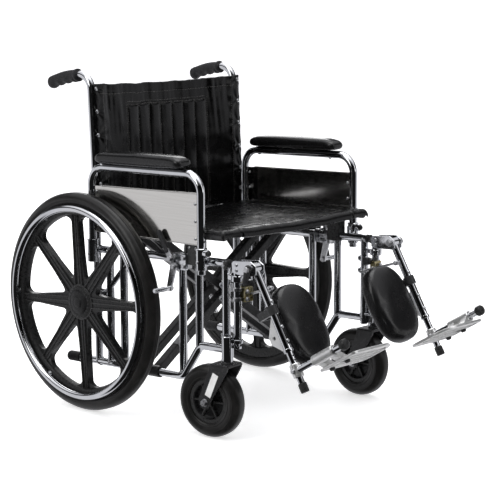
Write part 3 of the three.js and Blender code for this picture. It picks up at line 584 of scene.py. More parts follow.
finish(
    "blank_label", 0.35, 0.0, ((60, 4), (0.66, 0.66, 0.65), (0.78, 0.78, 0.77)),
    bump=((700, 3), 0.06, 0.0003),
)
finish(
    "grey_band", 0.3, 0.3, ((60, 4), (0.16, 0.16, 0.165), (0.25, 0.25, 0.26)),
    bump=((700, 3), 0.06, 0.0003),
)
finish(
    "pale_floor", 0.6, 0.0, ((3, 3), (0.93,) * 3, (0.95,) * 3),
    Emission_Color=(1, 1, 1, 1), Emission_Strength=0.6,
)


# ---- side frame ----
def frame_tubes():
    p = Piece("chrome", "zinc")
    cane = bent([lower(CANE_FOOT) - Z * 6, CANE_BEND, CANE_TOP, on_grip(GRIP_REAR)], 42)
    knee, toe = Vector((FRAME_X, -88, 231)), Vector((FRAME_X, FRONT_Y, 231))
    toe.z += (knee.y - toe.y) * math.tan(SLOPE)
    rail = bent([lower(LEVER_REAR), lower(-20), knee, toe], 30)
    p.add(sweep(cane, TUBE, 32)).add(sweep(rail, TUBE, 32))
    p.add(bar(upper(CANE_FOOT), upper(-196), TUBE, 32))
    uprights = [(x, y, lower_z(y)) for x, y in ((FRAME_X, 270), (FRAME_X, 214), (262, -2))]
    uprights += [(FRAME_X, -83, 229), (FRAME_X, FRONT_Y, 216)]
    for x, y, bottom in uprights:
        p.add(bar((x, y, bottom), (x, y, upper_z(y)), TUBE, 32))
        if x == FRAME_X:
            p.add(saddle_bead((x, y, upper_z(y)), -Z, Y), "zinc")
            if y > 0:
                p.add(saddle_bead((x, y, bottom), Z, Y), "zinc")
    for at, way in ((upper(CANE_FOOT), -Y), (lower(CANE_FOOT), -Y), (toe, Y)):
        p.add(saddle_bead(at, way, Z), "zinc")
    # diagonal brace from the axle plate to the upper rail
    p.add(bar((FRAME_X, 288, 322), upper(166), 8, 28))
    # axle receiver plate, barrel and clamp bolts
    plate = rounded(268, AXLE_Z - 30, 324, AXLE_Z + 30, 8)
    p.add(prism(plate, 274, 286, SIDE_PLANE, bevel=1.5))
    p.add(lathe([(9, 266), (14, 266), (15, 267), (15, 315), (14, 316), (9, 316)], AXLE_AT, X, 32))
    for z in (AXLE_Z - 20, AXLE_Z + 20):
        p.add(hex_bolt((286, 296, z), X, 6, 6), "zinc").add(hex_bolt((274, 296, z), -X, 6, 6), "zinc")
    return p


def frame_fittings():
    """Caster housing, arm sockets, legrest pins and the seat rail rest, welded to the tubes."""
    p = Piece("chrome", "zinc", "black_plastic")
    housing = [(9.5, 208), (14.6, 207.5), (15.4, 209), (15.4, 216), (14.9, 217), (14.9, 268), (15.4, 269)]
    p.add(lathe([*housing, (15.4, 275), (14.4, 276.5), (0, 276.5)], (CASTER_X, STEM_Y, 0), Z, 40))
    p.add(box((282, -212, 219), (296, -181, 264), 2))
    for y, bottom, top, near in ((ARM_REAR, 414, 478, CANE_FOOT), (ARM_FRONT, 440, 498, ARM_FRONT)):
        tube = [(12, bottom), (14.2, bottom), (15, bottom + 1), (15, top - 5), (16.4, top - 4)]
        p.add(lathe([*tube, (16.4, top - 1), (15.4, top), (12, top)], (ARM_X, y, 0), Z, 36, closed=True))
        p.add(box((282, min(y, near) - 5, bottom + 8), (299, max(y, near) + 5, top - 8), 2))
        p.add(bar((ARM_X + 14, y, bottom + 22), (ARM_X + 18, y, bottom + 22), 3.2, 16), "zinc")
    barrel = [(8.4, -3), (9.7, -3), (10.4, -1), (10.4, 10), (9.6, 11), (8.4, 11)]
    p.add(lathe(barrel, LATCH_AT, -Y, 32, closed=True))
    # legrest supports on the front upright
    p.add(prism(rounded(-233, 272, -176, 288, 5), 243, 250, (Y, X, Z), bevel=1))
    p.add(bar((FRAME_X, HANGER_Y, 248), (FRAME_X, HANGER_Y, 274), 5, 20))
    p.add(collar(12.2, 17, -8, 8, (FRAME_X, HANGER_Y, 428), Z))
    p.add(box((275, -209, 422), (285, -190, 434), 1.5))
    for z in (404, 369):
        p.add(bar((FRAME_X, -176, z), (FRAME_X, -166, z), 4, 16))
        p.add(hex_bolt((FRAME_X, -169, z), Y, 7, 6), "zinc")
    # rear seat rail rest
    arc = [(12.4 * math.cos(a), 514.5 + 12.4 * math.sin(a)) for a in (-0.35, -0.8, -1.57, -2.34, -2.79)]
    rest = [(x + FRAME_X, z) for x, z in [(-14, 447), (14, 447), (14, 511), *arc, (-14, 511)]]
    p.add(prism(rest, 228, 248, (X, Z, Y), bevel=1.2), "black_plastic")
    return p


def frame_plugs():
    p = Piece("black_plastic")
    dome = [(0, 5), (5, 4.6), (9, 3), (11.2, 0.5), (11.4, -3), (9.8, -3.2), (9.8, -14), (0, -14)]
    p.add(lathe(dome, upper(-196), upper(-200) - upper(-190), 32))
    for z in (454, 466):
        p.add(lathe([(0, 4), (5, 3.4), (6.4, 1), (6.4, -2), (0, -2)], (FRAME_X + 14.5, -194, z), X, 24))
    return p


def push_grip():
    """A ribbed handle: a collar at the front, finger bumps below, and a rounded end."""
    front_y, rear_y, arch = 388, 509, 3.5
    start, length = on_grip(front_y), (rear_y - front_y) / GRIP_DIR.y
    stations, around = 100, 96
    up = X.cross(GRIP_DIR)
    points = []
    for i in range(stations + 1):
        s = i / stations
        along = s * length
        end = min(1, max(0, (length - along) / 6))
        dome = math.sqrt(1 - (1 - end) ** 2)
        radius = 15.3 + 1.2 * math.sin(math.pi * s) + 1.6 * max(0, s - 0.75) * 4
        if along < 7:
            radius = 18.3 - 0.04 * (along - 3) ** 2
        elif along < 14:
            radius += (14 - along) * 0.25
        for k in range(around):
            a = TAU * k / around
            below = max(0, -math.sin(a))
            bumps = 3 * below * (0.5 - 0.5 * math.cos(along / length * 4 * TAU)) if along > 12 else 0
            rib = 0.35 * (1 if k % 4 < 2 else -1) if 12 < along < length - 8 else 0
            r = (radius + bumps + rib) * (0.12 + 0.88 * dome)
            spot = start + GRIP_DIR * along + up * arch * (math.sin(math.pi * s) - s * s)
            points.append(spot + (X * math.cos(a) + up * math.sin(a)) * r)
    return Piece("grip_rubber").add((points, skin(stations + 1, around)))


def tipping_tip():
    p = Piece("grip_rubber")
    direction = (lower(440) - lower(400)).normalized()
    profile = [(11.3, 0), (13.6, 0), (14.4, 0.8)]
    for i in range(5):
        h = 4 + i * 7
        profile += [(14.4, h), (13.5, h + 1), (13.5, h + 2.2), (14.4, h + 3.2)]
    profile += [(14.4, 44), (13.4, 46.4), (10.5, 47.4), (0, 47.6)]
    return p.add(lathe(profile, lower(402), direction, 36))


def seat_guide():
    p = Piece("black_plastic", "zinc")
    arc = [(12.2 * math.cos(a), 529 + 12.2 * math.sin(a)) for a in (-0.5, -0.9, -1.57, -2.24, -2.64)]
    outline = [(x + FRAME_X, z) for x, z in [(-16, 446), (16, 446), (16, 524), *arc, (-16, 524)]]
    p.add(prism(outline, -97, -55, (X, Z, Y), bevel=2.2))
    for y in (-88, -64):
        p.add(screw((FRAME_X + 16, y, 492), X, 4.5), "zinc")
    for z in (476, 506):
        p.add(box((FRAME_X - 16.6, -92, z), (FRAME_X + 16.6, -60, z + 3), 1))
    return p


# ---- rear wheel ----
def wheel_window(middle):
    """One gap between two spokes, with round corners, in (y, z) from the axle."""
    inner, outer, pitch = 66, 243, math.pi / 8
    near, far = pitch - math.asin(17.5 / inner), pitch - math.asin(12.5 / outer)

    def at(radius, angle):
        return Vector((radius * math.cos(middle + angle), radius * math.sin(middle + angle)))

    turn = 38
    spread = turn / outer
    rim = [at(outer, -far + spread + (2 * far - 2 * spread) * i / 12) for i in range(1, 12)]
    sixths, eighths = [i / 6 for i in range(7)], [i / 8 for i in range(9)]
    path = curve(at(outer - turn, -far * 0.985), at(outer, -far), at(outer, -far + spread), sixths)
    path += [(v.x, v.y) for v in rim]
    path += curve(at(outer, far - spread), at(outer, far), at(outer - turn, far * 0.985), sixths)
    return path + curve(at(inner + 16, near), at(inner - 3, 0), at(inner + 16, -near), eighths)


WHEEL_AT = AXLE_AT + X * WHEEL_X
RIM_BOLT_R = 259
RIM_BOLTS = [Vector((0, -math.sin(a), math.cos(a))) for a in ((i + 0.5) * TAU / 6 for i in range(6))]


def spoke_plane(a):
    """A basis whose first axis points out along a spoke, and whose third is the wheel's axle."""
    return Y * math.cos(a) + Z * math.sin(a), Z * math.cos(a) - Y * math.sin(a), X


def wheel_mag():
    p = Piece("black_plastic", "zinc")
    windows = [wheel_window((i + 0.5) * TAU / 8 + SPOKE_PHASE) for i in range(8)]
    p.add(prism(circle(0, 0, RIM_R - 16, 120), -8, 7, SIDE_PLANE, WHEEL_AT, 2.2, windows))
    rim = [
        (243, -9), (246, -14), (252, -16), (RIM_R - 2, -16), (RIM_R - 0.4, -14), (RIM_R - 0.4, 14),
        (RIM_R - 2, 16), (252, 16), (246, 14), (243, 9), (241.5, 0),
    ]
    p.add(lathe(rim, WHEEL_AT, X, 144, closed=True))
    hub = [
        (9, -24), (24, -24), (27, -22), (30, -14), (44, -10), (50, -6), (51, 6), (50, 10), (9, 10),
    ]
    p.add(lathe(hub, WHEEL_AT, X, 96, closed=True))
    # every spoke is a channel: two raised edges, and a rounded rib down the middle
    for i in range(8):
        plane = spoke_plane(i * TAU / 8 + SPOKE_PHASE)
        for sign in (-1, 1):
            edge = [(46, sign * 15.5), (46, sign * 12), (246, sign * 8), (246, sign * 11.5)]
            p.add(prism(edge, 4, 11.5, plane, WHEEL_AT, 1.6)).add(prism(edge, -12, -5, plane, WHEEL_AT, 1.6))
        rib = [(46, -2.4), (246, -1.6), (246, 1.6), (46, 2.4)]
        p.add(prism(rib, 4, 9, plane, WHEEL_AT, 1.2))
    for away in RIM_BOLTS:
        p.add(screw(WHEEL_AT + away * RIM_BOLT_R - X * 16, -X, 4.2), "zinc")
    return p


def wheel_tyre():
    """A solid tyre with a flat tread, a moulded ring on each wall, and shallow tread grooves."""
    r = WHEEL_R
    wall = [(RIM_R - 0.2, 19), (RIM_R + 4, 21.5), (RIM_R + 8, 22.6), (RIM_R + 9, 22.0), (RIM_R + 10, 22.8)]
    wall += [(r - 15, 22.4), (r - 9, 19.8), (r - 4, 15.5), (r - 1.3, 10.5), (r, 8)]
    tread = [(r, 6.6), (r - 1.2, 6.1), (r - 1.2, 5.2), (r, 4.7), (r, 1.2), (r - 1.2, 0.7)]
    half = wall + tread
    profile = half + [(a, -b) for a, b in reversed(half)]
    return Piece("tyre").add(lathe(profile, WHEEL_AT, X, 160, closed=True))


def handrim():
    p = Piece("chrome", "zinc")
    ring = [Vector((HANDRIM_X, AXLE_Y + y, AXLE_Z + z)) for y, z in circle(0, 0, HANDRIM_R, 120)]
    p.add(sweep(ring, HANDRIM_TUBE, 20, closed=True))
    for away in RIM_BOLTS:
        foot = WHEEL_AT + away * RIM_BOLT_R + X * 16.5
        p.add(bar(foot, foot + X * 10.5, 4.6, 20), "zinc")
        p.add(washer(foot, X, 8.5, 1.6), "zinc")
    return p


def hub_cap():
    profile = [
        (0, 20.5), (6, 20.4), (12, 20), (15, 19.2), (16, 18.2), (18, 18.2), (26, 17.4), (33, 15.6),
        (34.5, 14.4), (36, 14.6), (41, 14), (44.5, 12.4), (45.5, 10.4), (0, 10.4),
    ]
    p = Piece("black_plastic").add(lathe(profile, WHEEL_AT, X, 96))
    rib = [(36, -1.1), (43, -1.4), (43, 1.4), (36, 1.1)]
    for i in range(24):
        p.add(prism(rib, 12, 14.9, spoke_plane(i * TAU / 24), WHEEL_AT, 0.5))
    return p


def wheel_axle():
    p, at = Piece("zinc"), AXLE_AT
    p.add(bar(at + X * 252, at + X * 352, 7.8, 28))
    p.add(hex_bolt(at + X * 264, -X, 12, 9)).add(hex_bolt(at + X * 341.6, X, 12.5, 9))
    p.add(washer(at + X * 316.4, X, 15, 2)).add(washer(at + X * 321, X, 12, 3))
    return p


# ---- front caster ----
CASTER_AT = Vector((CASTER_X, STEM_Y + TRAIL, CASTER_R))


def caster_fork():
    p = Piece("black_paint", "zinc", "blank_label")
    top = 204
    stem = Vector((CASTER_X, STEM_Y, 0))
    leg_outline = [(-25, top - 5), (-22, top - 14), (-12, top - 32), (TRAIL - 18.5, CASTER_R + 4)]
    for i in range(11):
        a = math.radians(170 + 18 * i)
        leg_outline.append((TRAIL + 18 * math.cos(a), CASTER_R + 18 * math.sin(a)))
    leg_outline += [(TRAIL + 19, CASTER_R + 10), (36, top - 18), (35, top - 5), (31, top), (-21, top)]
    for low in (28, -33.5):
        p.add(prism(leg_outline, low, low + 5.5, SIDE_PLANE, stem, 1.4))
    p.add(prism(rounded(-33.5, -25, 33.5, 35, 7), top - 7, top, origin=stem, bevel=2.4))
    p.add(lathe([(0, 3), (15, 3), (16.4, 1.6), (17, -3), (0, -3)], stem + Z * top, Z, 40))
    p.add(bar(stem + Z * (top - 2), stem + Z * 262, 8, 20), "zinc")
    p.add(bar(CASTER_AT - X * 36, CASTER_AT + X * 36, 5.5, 20), "zinc")
    for sign in (-1, 1):
        p.add(hex_bolt(CASTER_AT + X * sign * 33.5, X * sign, 8.4, 8.5), "zinc")
        p.add(washer(CASTER_AT + X * sign * 26.2, X * sign, 13, 1.6), "zinc")
    # a plain sticker on the outer leg
    along = Vector((0, 30, -70)).normalized()
    across = Vector((0, along.z, -along.y)) * -1
    label = rounded(-34, -9.5, 34, 9.5, 1.5, 3)
    p.add(prism(label, 33.5, 34, (along, across, X), stem + Vector((0, 27, 147)), 0.15), "blank_label")
    return p


def caster_wheel():
    p = Piece("black_plastic", "zinc")
    half = [(7.2, -25.6), (13, -25.6), (14, -24.6), (15, -13), (20, -9), (42, -9), (46, -12)]
    half += [(49, -18), (59.6, -18)]
    profile = half + [(r, -h) for r, h in reversed(half)]
    p.add(lathe(profile, CASTER_AT, X, 72, closed=True))
    rib = [(12, -3), (48, -2.2), (48, 2.2), (12, 3)]
    for i in range(6):
        for low, high in ((7, 15), (-15, -7)):
            p.add(prism(rib, low, high, spoke_plane(i * TAU / 6), CASTER_AT, 1))
    return p


def caster_tyre():
    r = CASTER_R
    half = [(60, 21), (63, 22.6), (66, 23.4), (67.5, 22.8), (69, 23.6), (78, 24.6), (79.5, 24), (81, 24.6)]
    half += [(86, 23.4), (91, 20), (95, 14.6), (97, 9), (r, 3)]
    profile = half + [(a, -b) for a, b in reversed(half)]
    return Piece("tyre").add(lathe(profile, CASTER_AT, X, 96, closed=True))


# ---- arm ----
def arm_frame():
    p = Piece("chrome", "black_plastic")
    legs = ((ARM_FRONT, 428), (ARM_FRONT, ARM_REAR_Z + ARM_RISE), (ARM_REAR, ARM_REAR_Z), (ARM_REAR, 418))
    p.add(sweep(bent([(ARM_X, y, z) for y, z in legs], 52), TUBE, 32))
    # the latch's row of holes, shown as shallow dark buttons on the front leg: painted shade that stands for
    # the dark inside each hole
    for z in (516, 536):
        inside, outside = (ARM_X, ARM_FRONT - 10.6, z), (ARM_X, ARM_FRONT - 11.3, z)
        p.add(bar(inside, outside, 3.4, 16, 0.2), "black_plastic")
    for y in (-30, 250):
        p.add(screw((ARM_X, y, arm_z(y) - TUBE + 0.4), -Z, 4.5), "black_plastic")
    return p


def arm_panel():
    p = Piece("polished_panel", "zinc")
    front, rear = ARM_FRONT + 11.4, ARM_REAR - 11.4
    outline = [(front, 504), (rear, 500), (rear, 627), (rear - 30, 629), (front, 640)]
    p.add(prism(outline, ARM_X - 1.2, ARM_X + 1.2, SIDE_PLANE, bevel=0.5))
    p.add(bar((ARM_X, front + 0.5, 640), (ARM_X, rear - 30, 629), 2.4, 16))
    p.add(bar((ARM_X, front + 0.5, 505), (ARM_X, rear - 0.5, 501), 2.4, 16))
    for y in (front + 9, rear - 9):
        for z in (520, 566, 612):
            for sign in (-1, 1):
                p.add(screw((ARM_X + sign * 1.2, y, z), X * sign, 4), "zinc")
    return p


def arm_latch():
    button = [(0, 18.4), (4, 18), (6.6, 16), (7.6, 13), (7.6, 7), (0, 7)]
    return Piece("black_plastic").add(lathe(button, LATCH_AT, -Y, 28))


# ---- wheel lock ----
BRAKE_Y, BRAKE_Z, LEVER_X, SHOE_X = -14, 452, 317, 310


def brake_clamp():
    p = Piece("zinc", "chrome")
    y, z = BRAKE_Y, BRAKE_Z
    p.add(prism(rounded(y - 42, z - 22, y + 14, z + 21, 7), 292, 303, SIDE_PLANE, bevel=1.4), "chrome")
    for end in (y - 34, y + 4):
        p.add(collar(12.2, 15.6, -7, 7, upper(end), upper(end + 1) - upper(end), 0.6, rise=0.6))
        p.add(box((FRAME_X - 3, end - 6, upper_z(end) - 24), (303, end + 6, upper_z(end) - 12), 1.5))
        p.add(hex_bolt((303, end, upper_z(end) - 16), X, 6, 6)).add(hex_bolt((303, end, z + 12), X, 6, 6))
    for by, bz, end, bolt in ((y, z + 8, 323, 321), (y - 4, z - 14, 315, 313.6)):
        p.add(bar((302, by, bz), (end, by, bz), 5, 20)).add(hex_bolt((bolt, by, bz), X, 7.5, 6))
    return p


def brake_lever():
    p = Piece("zinc", "grip_rubber")
    pivot, along = Vector((LEVER_X, BRAKE_Y, BRAKE_Z + 8)), Vector((0, 46, 70)).normalized()
    side = X.cross(along)
    link = [(-10, -8), (-4, -12), (8, -10), (34, -6.5), (52, -5), (52, 5), (34, 6.5), (8, 11)]
    link += [(-6, 12), (-11, 5)]
    p.add(prism(link, -2.6, 2.6, (along, side, X), pivot, 0.8, [circle(0, 0, 5.6, 20)]))
    path = [pivot + along * s for s in (19, 22, 27, 34, 42, 51, 60, 68, 76, 81, 84, 85.6)]
    radii = [6.4, 7.6, 7.8, 7.0, 7.3, 7.0, 7.2, 7.0, 7.5, 7.2, 5.4, 3]
    p.add(sweep(path, radii, 24, edge=0), "grip_rubber")
    return p


def brake_shoe():
    p = Piece("zinc", "chrome")
    at = Vector((SHOE_X, BRAKE_Y - 4, BRAKE_Z - 14))
    arm = [(-12, 4), (-6, 11), (7, 10), (12, 0), (25, -54), (22, -67), (9, -67), (7, -54)]
    p.add(prism(arm, -2.8, 2.8, SIDE_PLANE, at, 1, [circle(0, 0, 5.6, 20)]))
    shoe = Vector((SHOE_X, -2, 378))
    p.add(bar(shoe, shoe + X * 57, 6, 28), "chrome")
    for i in range(9):
        p.add(washer(shoe + X * (17 + 4.4 * i), X, 6.7, 1.8), "chrome")
    p.add(hex_bolt(shoe - X * 2.8, -X, 7, 6))
    return p


# ---- legrest ----
def hanger():
    p = Piece("chrome", "zinc", "yellow_zinc", "black_paint")
    x, y = FRAME_X, HANGER_Y
    post = [(6.2, 256), (10.2, 256), (11, 257), (11, 470), (10, 473), (0, 474)]
    p.add(lathe([*post, (0, 282), (6.2, 282)], (x, y, 0), Z, 36, closed=True))
    ear = [(-304, 449), (-298, 444), (-240, 442), (-221, 446), (-219, 470), (-226, 476)]
    ear += [(-286, 481), (-303, 471)]
    for low in (13, -17):
        p.add(prism(ear, x + low, x + low + 4, SIDE_PLANE, bevel=1))
    p.add(prism([(-240, 446), (-220, 446), (-220, 472), (-240, 472)], x - 14, x + 14, SIDE_PLANE, bevel=2))
    p.add(bar((x - 20, KNEE_Y, KNEE_Z), (x + 33, KNEE_Y, KNEE_Z), 5, 20), "zinc")
    p.add(hex_bolt((x - 17, KNEE_Y, KNEE_Z), -X, 8.5, 7), "zinc")
    p.add(hex_bolt((x + 31, KNEE_Y, KNEE_Z), X, 7, 5.5), "zinc")
    for z in (452, 466):
        p.add(screw((x - 17, -236, z), -X, 4.5), "zinc").add(screw((x + 17, -236, z), X, 4.5), "zinc")
    # latch arm
    latch = [(-48, -8), (-44, -12), (-14, -12), (0, -8), (0, 6), (-20, 7), (-48, 4)]
    p.add(prism(latch, 404, 411, origin=(x, y, 0), bevel=1), "black_paint")
    p.add(prism(rounded(-50, -14, -36, 10, 4), 398, 418, origin=(x, y, 0), bevel=2), "black_paint")
    p.add(screw((x - 43, y - 2, 418), Z, 4), "zinc")
    # ratchet block
    window = [(251, 372), (263, 372), (263, 400), (251, 400)]
    block = [(247, 368), (276, 368), (276, 405), (270, 407), (250, 407), (247, 404)]
    p.add(prism(block, -248, -230, (X, Z, Y), bevel=1.2, holes=[window]), "yellow_zinc")
    for z in (376, 396):
        p.add(hex_bolt((270, -248, z), -Y, 4.6, 5), "zinc")
    p.add(lathe([(0, 5), (4, 4.6), (5, 3), (5, -1), (0, -1)], (247, -240, 388), -X, 24), "zinc")
    for z in (374, 400):
        p.add(collar(11.3, 13.6, -5, 5, (x, y, z), Z, 0.6, 32), "zinc")
    foot = [(11.2, 0), (14, 0), (14.4, 1), (14.4, 9), (13.6, 10), (11.2, 10)]
    p.add(lathe(foot, (x, y, 258), Z, 32, closed=True))
    return p


def release_handle():
    """A paddle, broad and round at the top, that hangs from the knee bolt."""
    p = Piece("grip_rubber", "zinc")
    x = FRAME_X + 27
    pivot = Vector((x, KNEE_Y, KNEE_Z))
    p.add(collar(5.7, 7.8, -8.6, 8.6, pivot, X, 0.4, 28, 0.6), "zinc")
    down, out = Vector((0, 12, -42)), Vector((0, -2, 11))
    radii = [(0, 8.8), (0.15, 8.9), (0.3, 8.4), (0.5, 7.4), (0.7, 6.4), (0.88, 5.4), (0.96, 4.6), (1.0, 2.4)]
    above = [(1.0, 3.6), (0.9, 5.6), (0.7, 7.3), (0.4, 8.4)]
    path = [pivot + out * s for s, _ in above] + [pivot + down * s for s, _ in radii]
    p.add(sweep(path, [r for _, r in above] + [r for _, r in radii], 28, edge=0))
    return p


def leg_tube():
    p = Piece("chrome", "zinc", "cast_aluminium", "black_plastic")
    x = FRAME_X
    p.add(leg(collar(5.8, 14, -11, 11, (x, 0, 0), X)))
    tube = [(0, 11), (10.6, 11), (11, 12), (11, 231), (10.4, 232), (9.7, 232), (9.7, 92), (0, 92)]
    p.add(leg(lathe(tube, (x, 0, 0), -Z, 36)))
    # the slot down the front of the tube, with the bolts that ride in it; the slot is a thin dark strip laid
    # on the tube, painted shade that stands for the opening
    slot = rounded(-3.2, 118, 3.2, 214, 3, 4)
    p.add(leg(prism(slot, 10.4, 11.25, (X, -Z, -Y), (x, 0, 0), 0.3)), "black_plastic")
    for s in (96, 128, 166, 204):
        p.add(leg(screw(leg_point(x, 11, s), -Y, 4.6)), "zinc")
    for s in (104, 150, 198):
        p.add(leg(bar(leg_point(x - 11.8, 0, s), leg_point(x - 10.6, 0, s), 3, 16, 0.3)), "black_plastic")
    p.add(leg(collar(11.1, 13, 0, 8, leg_point(x, 0, 232), Z, 0.4, 32)))
    # gusset plate with its hole
    gusset = [(-8, 134), (-12, 138), (-42, 176), (-42, 196), (-8, 230)]
    hole = circle(-25, 184, 5.2, 20)
    p.add(leg(prism(gusset, x + 2, x + 6, LEG_SIDE, bevel=0.9, holes=[hole])), "cast_aluminium")
    p.add(leg(bar(leg_point(x - 4, 0, 60), leg_point(251, 0, 60), 3, 16)), "zinc")
    p.add(leg(hex_bolt(leg_point(252, 0, 60), -X, 5.5, 5)), "zinc")
    return p


def ratchet_rod():
    p = Piece("zinc")
    pin = Vector((257, KNEE_Y - 60 * math.sin(TILT), KNEE_Z - 60 * math.cos(TILT)))
    through = Vector((257, -240, 386))
    along = (through - pin).normalized()
    end = through + along * 55
    p.add(bar(pin + along * 5, end, 3.5, 20, 0.5))
    p.add(collar(3.7, 7, -3, 3, pin, X, 0.4, 24, 0.6))
    for i in range(12):
        p.add(washer(end - along * (4 + 3.4 * i), -along, 4.3, 1.5))
    return p


def foot_tube():
    p = Piece("chrome", "black_plastic", "cast_aluminium", "zinc")
    x, joint = FRAME_X, FOOT_DOWN
    p.add(leg(bar(leg_point(x, 0, 112), leg_point(x, 0, joint + 52), 9, 28)))
    knuckle = [(0, -18), (12.6, -18), (14, -16), (14.4, -6), (14.4, 6), (14, 16), (12.6, 18), (0, 18)]
    p.add(leg(lathe(knuckle, leg_point(x, 0, joint), Z, 36)), "cast_aluminium")
    boot = [(0, 0), (10, 0), (11.5, 2), (11.5, 22), (10.6, 24.6), (0, 25)]
    p.add(leg(lathe(boot, leg_point(x, 0, joint + 34), -Z, 32)), "black_plastic")
    p.add(leg(bar(leg_point(x, 4, joint), leg_point(x, 184, joint), 9, 28)))
    cap = [(0, 8), (7, 7.4), (11.6, 5.6), (13.6, 2.6), (14, -1), (14, -9), (13, -11), (0, -11)]
    p.add(leg(lathe(cap, leg_point(x, 183, joint), -Y, 36)), "black_plastic")
    for sign in (-1, 1):
        p.add(leg(hex_bolt(leg_point(x + sign * 13.6, 0, joint), X * sign, 6, 5)), "zinc")
    for s in (244, 256, 268):
        p.add(leg(bar(leg_point(x, 8.7, s), leg_point(x, 9.25, s), 2.6, 16, 0.2)), "black_plastic")
    return p


def footplate():
    p = Piece("cast_aluminium", "zinc", "black_plastic")
    x, joint, top, bottom = FRAME_X, FOOT_DOWN, LEG_LENGTH - 8, LEG_LENGTH
    inner, outer, rear, front = 95, 266, 58, FOOT_LENGTH
    shares = (0, 0.12, 0.25, 0.38, 0.5, 0.62, 0.75, 0.88, 1)

    def outline(inset):
        i, o, r, f = inner + inset, outer - inset, rear + inset, front - inset
        path = [(i + 24, r), (o - 8, r), (o - 2, r + 2), (o, r + 8), (o, f - 14), (o - 4, f - 4)]
        path.append((o - 14, f))
        path += curve(Vector((i + 62, f)), Vector((i + 6, f - 4)), Vector((i, f - 52)), shares)
        return path + [(i, r + 26), (i + 2, r + 12), (i + 10, r + 3)]

    p.add(leg(prism(outline(0), top + 1.2, bottom, LEG_FLAT, bevel=2.2, holes=[outline(9)])))
    p.add(leg(prism(outline(7), top + 3, bottom - 2, LEG_FLAT, bevel=0.4)))
    # raised tread ribs, and the ribs below
    for i in range(7):
        f = rear + 20 + i * 15.5
        start = inner + 16 + max(0, (f - 150) * 0.9)
        rib = rounded(start, f - 2.2, outer - 16, f + 2.2, 2.1, 3)
        p.add(leg(prism(rib, top + 0.2, top + 4, LEG_FLAT, bevel=0.9)))
    for f in (rear + 38, rear + 66, rear + 94):
        rib = rounded(inner + 14, f - 2, outer - 12, f + 2, 1.9, 3)
        p.add(leg(prism(rib, bottom - 3, bottom + 1.5, LEG_FLAT, bevel=0.7)))
    # hinge clamp over the pivot tube, with its lugs and hardware
    p.add(leg(collar(9.8, 14.2, -1, 73, leg_point(x, 70, joint), -Y, 0.8)))
    for f0, f1 in ((72, 94), (120, 141)):
        lug = [(x - 12, joint - 6), (x - 9, joint + 9), (x - 2, joint + 14), (outer - 10, bottom)]
        lug += [(outer - 34, bottom), (outer - 36, top + 1), (outer - 22, top - 6), (x - 18, joint + 2)]
        p.add(leg(prism(lug, f0, f1, (X, -Z, -Y), bevel=1.6)))
        p.add(leg(hex_bolt(leg_point(outer - 24, (f0 + f1) / 2, top + 0.5), Z, 6, 5)), "zinc")
    for f in (78, 134):
        bumper = [(0, 8), (5, 7.4), (7.4, 5), (7.6, 0), (0, 0)]
        p.add(leg(lathe(bumper, leg_point(outer - 26, f, bottom), -Z, 24)), "black_plastic")
    return p


def calf_bracket():
    p = Piece("black_paint", "zinc")
    x, s = FRAME_X, CALF_DOWN
    p.add(leg(collar(12, 15.6, -60, -36, leg_point(x, 0, s), -Z, 0.8)))
    for left, front, rear, bevel in ((x - 7, 8, 51, 2), (155, 46.5, 51.3, 1.4)):
        arm = [(left, front), (x + 7, front), (x + 7, rear), (left, rear)]
        p.add(leg(prism(arm, s - 58, s - 38, (X, Y, -Z), bevel=bevel)))
    plate = rounded(147, s - 60, 207, s + 32, 8)
    p.add(leg(prism(plate, 42.4, 47, (X, -Z, Y), bevel=1.2)))
    for a, b in ((160, s - 48), (192, s - 48), (160, s + 18), (192, s + 18)):
        p.add(leg(screw(Vector((a, 47, -b)), Y, 4.6)), "zinc")
    return p


# ---- cross frames ----
def cross_frame(side, bar_ys):
    """Two square bars from a sleeve on one lower rail up to the other side's seat rail."""
    p = Piece("black_paint", "grey_band", "black_plastic")

    def low(y):
        return lower(y, -side * FRAME_X)

    def high(y):
        return seat_rail(y, side * FRAME_X)

    def square_tube(y, half, radius, start, end):
        along = (high(y) - low(y)).normalized()
        section = rounded(-half, -half, half, half, radius, 4)
        return prism(section, start, end, (Y, along.cross(Y), along), low(y), 0)

    for y in bar_ys:
        p.add(square_tube(y, 12.5, 3.5, 4, (high(y) - low(y)).length - 4))
        corner = high(y)
        p.add(box((corner.x - 7, y - 30, corner.z - 10), (corner.x + 7, y + 30, corner.z - 4), 1.5))
        web = [(0, -6), (-side * 66, -50), (-side * 56, -62), (-side * 6, -16)]
        p.add(prism(web, y - 2, y + 2, (X, Z, Y), (corner.x, 0, corner.z), 0.6))
        p.add(saddle_bead(corner, low(y) - corner, Y, 12.5, 11, 2.2))
    first, last = bar_ys[0] - 17.5, bar_ys[1] + 13.5
    p.add(collar(12, 16, 0, last - first, low(first), low(last) - low(first), 0.8, 40))
    p.add(bar(seat_rail(-177, side * FRAME_X), seat_rail(294, side * FRAME_X), TUBE, 32))
    for y, way in ((-177, -1), (294, 1)):
        cap = [(0, 3), (6, 2.6), (10.4, 1.2), (11, 0), (9.8, -1), (0, -1)]
        p.add(lathe(cap, seat_rail(y, side * FRAME_X), Y * way, 28), "black_plastic")
    if side > 0:
        p.add(square_tube(bar_ys[0], 12.8, 3.6, 96, 138), "grey_band")
    return p


def pivot_z(y):
    return (lower_z(y) + seat_z(y)) / 2


def pivot_bolt():
    p = Piece("zinc")
    first, last = Vector((0, 74, pivot_z(74))), Vector((0, 200.5, pivot_z(200.5)))
    out = (last - first).normalized()
    p.add(bar(first - out * 8, last + out * 8, 6, 24))
    p.add(hex_bolt(first, -out, 10, 7.5)).add(hex_bolt(last, out, 10, 7.5))
    return p


